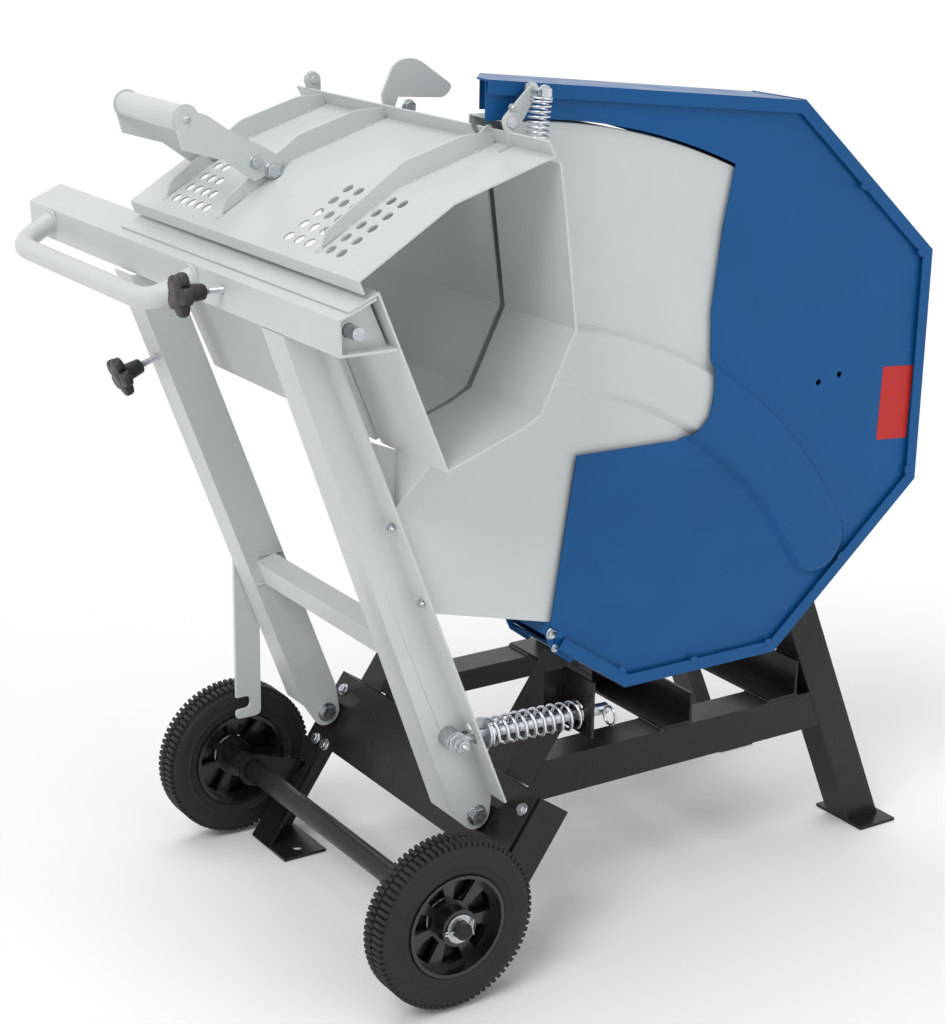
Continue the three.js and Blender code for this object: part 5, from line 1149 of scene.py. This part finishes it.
def star(face, along, name):
    """A star knob with domed lobes, a cap and a threaded stem, on the body of its own name."""
    along = along.normalized()
    across = OUT_NEAR
    third = along.cross(across).normalized()
    form = Form()
    lobes = []
    for lobe in range(5):
        heading = 2 * math.pi * lobe / 5
        for step in range(9):
            angle = heading + math.radians(-110 + 27.5 * step)
            lobes.append(on_circle(on_circle((0, 0), 15, heading), 10, angle))
    layers = [(0.86, -8), (0.97, -9.2), (1, -11), (1, -16), (0.95, -18.4), (0.8, -19.6)]
    count = len(lobes)
    for share, far in layers:
        form.points += [face + (across * x * share + third * y * share + along * far) * MM for x, y in lobes]
    form.faces.append(tuple(range(count))[::-1])
    form.faces.append(tuple(range(count * (len(layers) - 1), count * len(layers))))
    for layer in range(len(layers) - 1):
        for index in range(count):
            here, there = layer * count + index, layer * count + (index + 1) % count
            form.faces.append((here, there, there + count, here + count))
    form.turned([(0, -19), (10, -19), (10, -19.8), (8.6, -20.4), (0, -20.4)], face, along, 40)
    form.turned([(0, -9), (11, -9), (10.4, -4), (9.6, 4), (9, 12), (8, 14), (0, 14)], face, along, 40)
    knob = form.made(name + "_star", "knob_plastic", 30)
    seated(edged(knob, 0.5 * MM), name, [name])
    reach = 48 if name == "leg_knob" else 48.8
    thread = [(0, 12), (4, 12)]
    far = 14.0
    while far < reach - 1.6:
        thread += [(4, far), (3.45, far + 0.62)]
        far += THREAD_STEP
    thread += [(3.3, reach), (0, reach)]
    stem = Form().turned(thread, face, along, 24).made(name + "_stem", "zinc", 20)
    seated(stem, name)


class SAW_OT_knobs(bpy.types.Operator):
    """Moulds the two star knobs"""

    bl_idname = "saw.knobs"
    bl_label = "Star knobs"

    def execute(self, context):
        star(at(35, -185.35, 788.2), Vector((0, 1, 0)), "stop_knob")
        face, tip = at(-207, *on_leg(532, -61)), at(-207, *on_leg(532, -13))
        star(face, tip - face, "leg_knob")
        return {"FINISHED"}


class SAW_OT_transport_hook(bpy.types.Operator):
    """Cuts the flat hook that holds the rocker for moving the saw"""

    bl_idname = "saw.transport_hook"
    bl_label = "Transport hook"

    def execute(self, context):
        strap = [(25.9, 166), (25.9, 400)]
        strap += [
            (8.4 + 17.5 * math.cos(math.radians(turn)), 400 + 17 * math.sin(math.radians(turn)))
            for turn in range(10, 180, 10)
        ]
        strap += [(-9.1, 400), (-9.1, 195.1), (11, 195.1), (11, 178.1), (-9.1, 178.1), (-9.1, 166)]
        last = len(strap) - 1
        strap = cut_corners(strap, 9, (0, last - 3, last - 2, last - 1, last))
        hook = Form().prism(strap, -238, -233).made("transport_hook_strap", "grey_paint", 25)
        seated(edged(hook, 0.6 * MM), "transport_hook", ["transport_hook"])
        return {"FINISHED"}


class SAW_OT_plates(bpy.types.Operator):
    """Presses the raised band into the housing's and the guard's near plates"""

    bl_idname = "saw.plates"
    bl_label = "Pressed plates"

    def execute(self, context):
        inside = shifted(HOUSING, -2.3)
        outline = inside + HOUSING_CUT[::-1] + arc(CUT_RADIUS, 23.7, -1.2, 28)
        outline = cut_corners(outline, 26, (len(inside) + 3, len(inside) + 5))
        holes = [(middle, 4) for middle in from_blade([(0.492, -0.005), (0.592, 0.012)])]
        band = (495, 590, 18, 66, 7.6)
        plate = pressed_plate("housing_near_pressed", outline, 188, band, holes, "blue_paint")
        seated(plate, "frame", ["housing_near_plate"])

        outside = shifted(TROUGH, -GAP)
        guard = [on_leg(276, near_half(276) + GAP)] + from_pivot([(0.128, 0.348)])
        sides = [(0.88, 29), (0.78, 36), (0.528, 38), (0.314, 28)]
        guard += [about_pivot(share * GUARD_RADIUS, degrees) for share, degrees in sides][::-1]
        guard += arc(GUARD_RADIUS, 24.3, 1.2, 24) + outside[2:][::-1] + [on_leg(500, near_half(500) + GAP)]
        guard = cut_corners(guard, 60, (3, 4, 5))
        fold = [at(183.2, *point) for point in arc(GUARD_RADIUS - 1.4, 24.2, 1.3, 48)]
        seated(wire("guard_edge_fold", [fold], 1.7 * MM, "grey_paint", 12), "rocker")
        plate = pressed_plate("guard_near_pressed", guard, 182, (503, 582, 2, 70, 7.6), [], "grey_paint")
        seated(plate, "rocker", ["guard_near_plate"])
        return {"FINISHED"}


def near_half(up):
    """Half the near rocker leg's width at a height along it."""
    return NEAR_FOOT_HALF + (NEAR_TOP_HALF - NEAR_FOOT_HALF) * up / LEG_LENGTH


class SAW_OT_housing_trim(bpy.types.Operator):
    """Adds the weld tabs, the bare plate and the screws of the blade housing"""

    bl_idname = "saw.housing_trim"
    bl_label = "Housing trim"

    def execute(self, context):
        lip = shifted(HOUSING, -15)
        tabs = []
        middles = (
            (609, 868), (706, 776), (708, 503), (605, 412), (499, 322), (384, 319), (277, 323), (187, 386),
        )
        runs = [(Vector(a), Vector(b)) for a, b in zip(lip, lip[1:])]
        for point in map(Vector, middles):
            start, end = min(runs, key=lambda run: distance_to(point, *run))
            along = (end - start).normalized()
            across = Vector((-along.y, along.x))
            foot = start + along * (point - start).dot(along)
            ends = [foot + along * s * 5 + across * t * 3.4 for s, t in ((-1, -1), (1, -1), (1, 1), (-1, 1))]
            tabs.append([tuple(end) for end in ends])
        form = Form()
        for tab in tabs:
            form.prism(cut_corners(tab, 2, (0, 1, 2, 3)), 195.8, 197.2)
        seated(edged(form.made("housing_weld_tabs", "blue_paint"), 0.3 * MM), "frame")
        plate = [(664, 639), (714, 635), (711, 543), (661, 547)]
        red = Form().prism(plate, 189.9, 190.5).made("bare_red_plate", "red_plate")
        seated(edged(red, 0.2 * MM), "frame")
        seam = []
        for corner in shifted(HOUSING, 0.2)[1:-1]:
            seam.append(straight(at(100, *corner), at(194, *corner), 6))
        seated(wire("housing_fold_lines", seam, 0.9 * MM, "blue_weld", 8), "frame")
        cheek = [(171.4, 385.2), (182.4, 362), (207.7, 343.4), (214, 346), (187, 368), (179.5, 399)]
        foot = Form().prism(cheek, 186, 188).prism(cheek, 100.2, 102)
        foot.prism([(178.6, 398.5), (171.4, 385.2), (172.9, 384.4), (180.4, 398)], 100, 188)
        seated(edged(foot.made("housing_foot_cheeks", "blue_paint"), 0.5 * MM), "frame")
        screw = hex_head(5.6, 3.4, 7, 1.0)
        places = [(at(188, 180, 385), OUT_NEAR, 1.0), (at(188, 186, 366), OUT_NEAR, 0.7)]
        fasteners("housing_screws", screw, places, "zinc", "frame")
        return {"FINISHED"}


def distance_to(point, start, end):
    along = (end - start).normalized()
    far = max(0.0, min((end - start).length, (point - start).dot(along)))
    return (start + along * far - point).length


class SAW_OT_frame_fasteners(bpy.types.Operator):
    """Sets out the bolts of the frame"""

    bl_idname = "saw.frame_fasteners"
    bl_label = "Frame fasteners"

    def execute(self, context):
        panel = Vector((0, 8, 4)) + PANEL_UP * 242
        places = []
        for x, down in ((-203, 20), (212, 22), (-180, 93), (212, 93), (-203, 93)):
            point = panel - PANEL_UP * down + PANEL_OUT * 3.2
            places.append((at(x, point.y, point.z), PANEL_OUT, 0.8))
        places += [(at(-223, 58, 95), OUT_FAR, 0.8), (at(223, 58, 95), OUT_NEAR, 0.8)]
        fasteners("panel_bolts", hex_head(), places, "zinc", "frame")
        return {"FINISHED"}


class SAW_OT_rocker_fasteners(bpy.types.Operator):
    """Sets out the bolts of the rocker, with the heads that show on its near leg"""

    bl_idname = "saw.rocker_fasteners"
    bl_label = "Rocker fasteners"

    def execute(self, context):
        places = [
            (at(199.2, 54.2, 279.5), OUT_NEAR, 1.0),
            (at(184, -31, 545), OUT_NEAR, 0.62),
            (at(184, 8, 453), OUT_NEAR, 0.62),
            (at(206.2, 99, 985), OUT_NEAR, 0.4),
        ]
        fasteners("rocker_bolts", hex_head(stub=4), places, "zinc", "rocker")
        return {"FINISHED"}


class SAW_OT_welds(bpy.types.Operator):
    """Lays the weld beads of the frame and of the rocker"""

    bl_idname = "saw.welds"
    bl_label = "Weld beads"

    def execute(self, context):
        radius = context.scene.saw_sizes.weld_width / 2
        black = []
        for front, back in ((378, 424), (548, 594)):
            for low, high in ((104, 150), (-185, -139)):
                for y in (front, back):
                    black.append(straight(at(low, y, 207.3), at(high, y, 207.3), 8))
        post = [at(x, y, 247.6) for x, y in ((-60, 379.7), (0, 379.7), (0, 419.7), (-60, 419.7))]
        black += [straight(start, end, 8) for start, end in zip(post, post[1:] + post[:1])]
        seated(wire("frame_welds", black, radius, "black_weld", 10), "frame")
        grey = []
        for x in (-184.7, 164.4):
            for z in (362.5, 400.5):
                grey.append(straight(at(x, -1.5, z), at(x, 32, z), 6))
        seated(wire("rocker_welds", grey, radius * 0.8, "grey_weld", 10), "rocker")
        return {"FINISHED"}


class SAW_OT_motor(bpy.types.Operator):
    """Adds the fan grille and the motor's screws"""

    bl_idname = "saw.motor"
    bl_label = "Motor and switch"

    def execute(self, context):
        rings = closed_rings(-132.6, BLADE, (22, 34, 46, 58), 64)
        spokes = [
            [at(-132.6, *on_circle(BLADE, radius, math.radians(45 * step))) for radius in (14, 64)]
            for step in range(8)
        ]
        grille = wire("fan_grille", rings + spokes, 1.2 * MM, "motor_paint", 8)
        seated(grille, "frame")
        profile = [(0, -1), (4, -1), (4, 0.6), (3, 2), (1.6, 2.4), (1.6, 1.2), (0, 1.2)]
        screw = Form().turned(profile, Vector(), UP, 24)
        places = [(at(-65.2, y, z), OUT_FAR, 0.8) for y in (477, 531.5) for z in (564, 673)]
        for turn in (45, 135, 225, 315):
            places.append((at(-132.4, *on_circle(BLADE, 66, math.radians(turn))), OUT_FAR, 0.7))
        fasteners("motor_screws", screw, places, "zinc", "frame")
        return {"FINISHED"}


class SAW_OT_blade(bpy.types.Operator):
    """Brazes the hard tips on to the blade's teeth"""

    bl_idname = "saw.blade"
    bl_label = "Blade tips"

    def execute(self, context):
        corners = (
            (-1.9, 0, -7), (1.9, 0, -7), (1.9, 2.4, -7), (-1.9, 2.4, -7),
            (-2.1, 0, 0), (2.1, 0, 0), (2.0, 2.2, -0.7), (-2.0, 2.2, -0.7),
        )
        tip = Form().add([Vector(corner) * MM for corner in corners], BLOCK)
        places = []
        for tooth in range(BLADE_TEETH):
            angle = 2 * math.pi * tooth / BLADE_TEETH
            out = Vector((0, math.cos(angle), math.sin(angle)))
            places.append((at(BLADE_X, *BLADE) + out * (252.2 * MM), out, 1.0, OUT_NEAR))
        fasteners("blade_tips", tip, places, "blade_steel", "arbor")
        return {"FINISHED"}


class SAW_OT_stage(bpy.types.Operator):
    """Sets the pale floor, the studio light and the camera"""

    bl_idname = "saw.stage"
    bl_label = "Stage"

    def execute(self, context):
        scene = context.scene
        corners = ((-14, -14), (14, -14), (14, 14), (-14, 14))
        mesh = bpy.data.meshes.new("floor")
        mesh.from_pydata([(x, y, CAD_LOW.z - 0.0005) for x, y in corners], [], [(0, 1, 2, 3)])
        ground = bpy.data.objects.new("floor", mesh)
        scene.collection.objects.link(ground)
        ground.data.materials.append(floor_finish())
        world_light(scene)
        for name, turn, power, spread in (
            ("key", (44, 4, 22), 1.25, 28), ("fill", (66, 0, 112), 0.5, 50), ("top", (10, 0, -60), 1.0, 40),
        ):
            lamp = bpy.data.lights.new(name, "SUN")
            lamp.energy = power
            lamp.angle = math.radians(spread)
            thing = bpy.data.objects.new(name, lamp)
            thing.rotation_euler = [math.radians(value) for value in turn]
            scene.collection.objects.link(thing)
        camera_to_photo(scene)
        scene.view_settings.view_transform = "Standard"
        return {"FINISHED"}


def floor_finish():
    """Even, nearly white paper."""
    finish = Finish("pale_floor")
    tint = finish.mixed(finish.noise(3.0), (0.93, 0.93, 0.93), (0.96, 0.96, 0.96))
    return finish.done(Base_Color=tint, Roughness=0.75)


def world_light(scene):
    """White to the camera and in reflections, and softer as a light on the saw."""
    world = bpy.data.worlds.new("studio")
    world.use_nodes = True
    scene.world = world
    tree = world.node_tree
    tree.nodes.clear()
    path = tree.nodes.new("ShaderNodeLightPath")
    seen = Value(tree, path.outputs["Is Camera Ray"]) + Value(tree, path.outputs["Is Transmission Ray"])
    seen = (seen + Value(tree, path.outputs["Is Glossy Ray"])).above(0.5)
    soft, white = (tree.nodes.new("ShaderNodeBackground") for _ in range(2))
    for light, strength in ((soft, 0.42), (white, 1.0)):
        light.inputs["Color"].default_value = (1, 1, 1, 1)
        light.inputs["Strength"].default_value = strength
    mix = tree.nodes.new("ShaderNodeMixShader")
    output = tree.nodes.new("ShaderNodeOutputWorld")
    tree.links.new(seen.socket, mix.inputs[0])
    tree.links.new(soft.outputs[0], mix.inputs[1])
    tree.links.new(white.outputs[0], mix.inputs[2])
    tree.links.new(mix.outputs[0], output.inputs["Surface"])


def camera_to_photo(scene):
    """The photograph's viewpoint."""
    heading, height, roll = (math.radians(value) for value in (56.84, 17.67, 0.89))
    back = Vector((
        math.sin(heading) * math.cos(height), -math.cos(heading) * math.cos(height), math.sin(height),
    ))
    right = (-back).cross(Vector((0, 0, 1))).normalized()
    up = right.cross(-back)
    across = right * math.cos(roll) + up * math.sin(roll)
    upright = up * math.cos(roll) - right * math.sin(roll)
    lens = bpy.data.cameras.new("camera")
    lens.lens = 76.02
    lens.sensor_width = 36
    lens.clip_end = 100
    camera = bpy.data.objects.new("camera", lens)
    turn = Matrix((across, upright, back)).transposed().to_4x4()
    camera.matrix_world = Matrix.Translation(at(-246.52, 354.64, 382.47) + back * 2.90007) @ turn
    scene.collection.objects.link(camera)
    scene.camera = camera


STEPS = (
    SAW_OT_solids, SAW_OT_tyres, SAW_OT_wheel_pins, SAW_OT_springs, SAW_OT_lid, SAW_OT_lift_handle,
    SAW_OT_push_handle, SAW_OT_knobs, SAW_OT_transport_hook, SAW_OT_plates, SAW_OT_housing_trim,
    SAW_OT_frame_fasteners, SAW_OT_rocker_fasteners, SAW_OT_welds, SAW_OT_motor, SAW_OT_blade, SAW_OT_stage,
)


class SAW_PT_panel(bpy.types.Panel):
    """Lists the steps that dress the saw"""

    bl_idname = "SAW_PT_panel"
    bl_label = "Firewood circular saw"
    bl_space_type = "VIEW_3D"
    bl_region_type = "UI"
    bl_category = "Saw"

    def draw(self, context):
        for group in (context.scene.saw_sizes, context.scene.saw_colours):
            for name in group.bl_rna.properties.keys():
                if name not in ("rna_type", "name"):
                    self.layout.prop(group, name)
        for step in STEPS:
            self.layout.operator(step.bl_idname)


CLASSES = (SawSizes, SawColours, *STEPS, SAW_PT_panel)


def register():
    for kind in CLASSES:
        bpy.utils.register_class(kind)
    bpy.types.Scene.saw_sizes = PointerProperty(type=SawSizes)
    bpy.types.Scene.saw_colours = PointerProperty(type=SawColours)


def unregister():
    del bpy.types.Scene.saw_colours
    del bpy.types.Scene.saw_sizes
    for kind in reversed(CLASSES):
        bpy.utils.unregister_class(kind)


def main():
    register()
    for step in STEPS:
        group, name = step.bl_idname.split(".")
        getattr(getattr(bpy.ops, group), name)()
    bpy.context.view_layer.update()


if __name__ == "__main__":
    main()
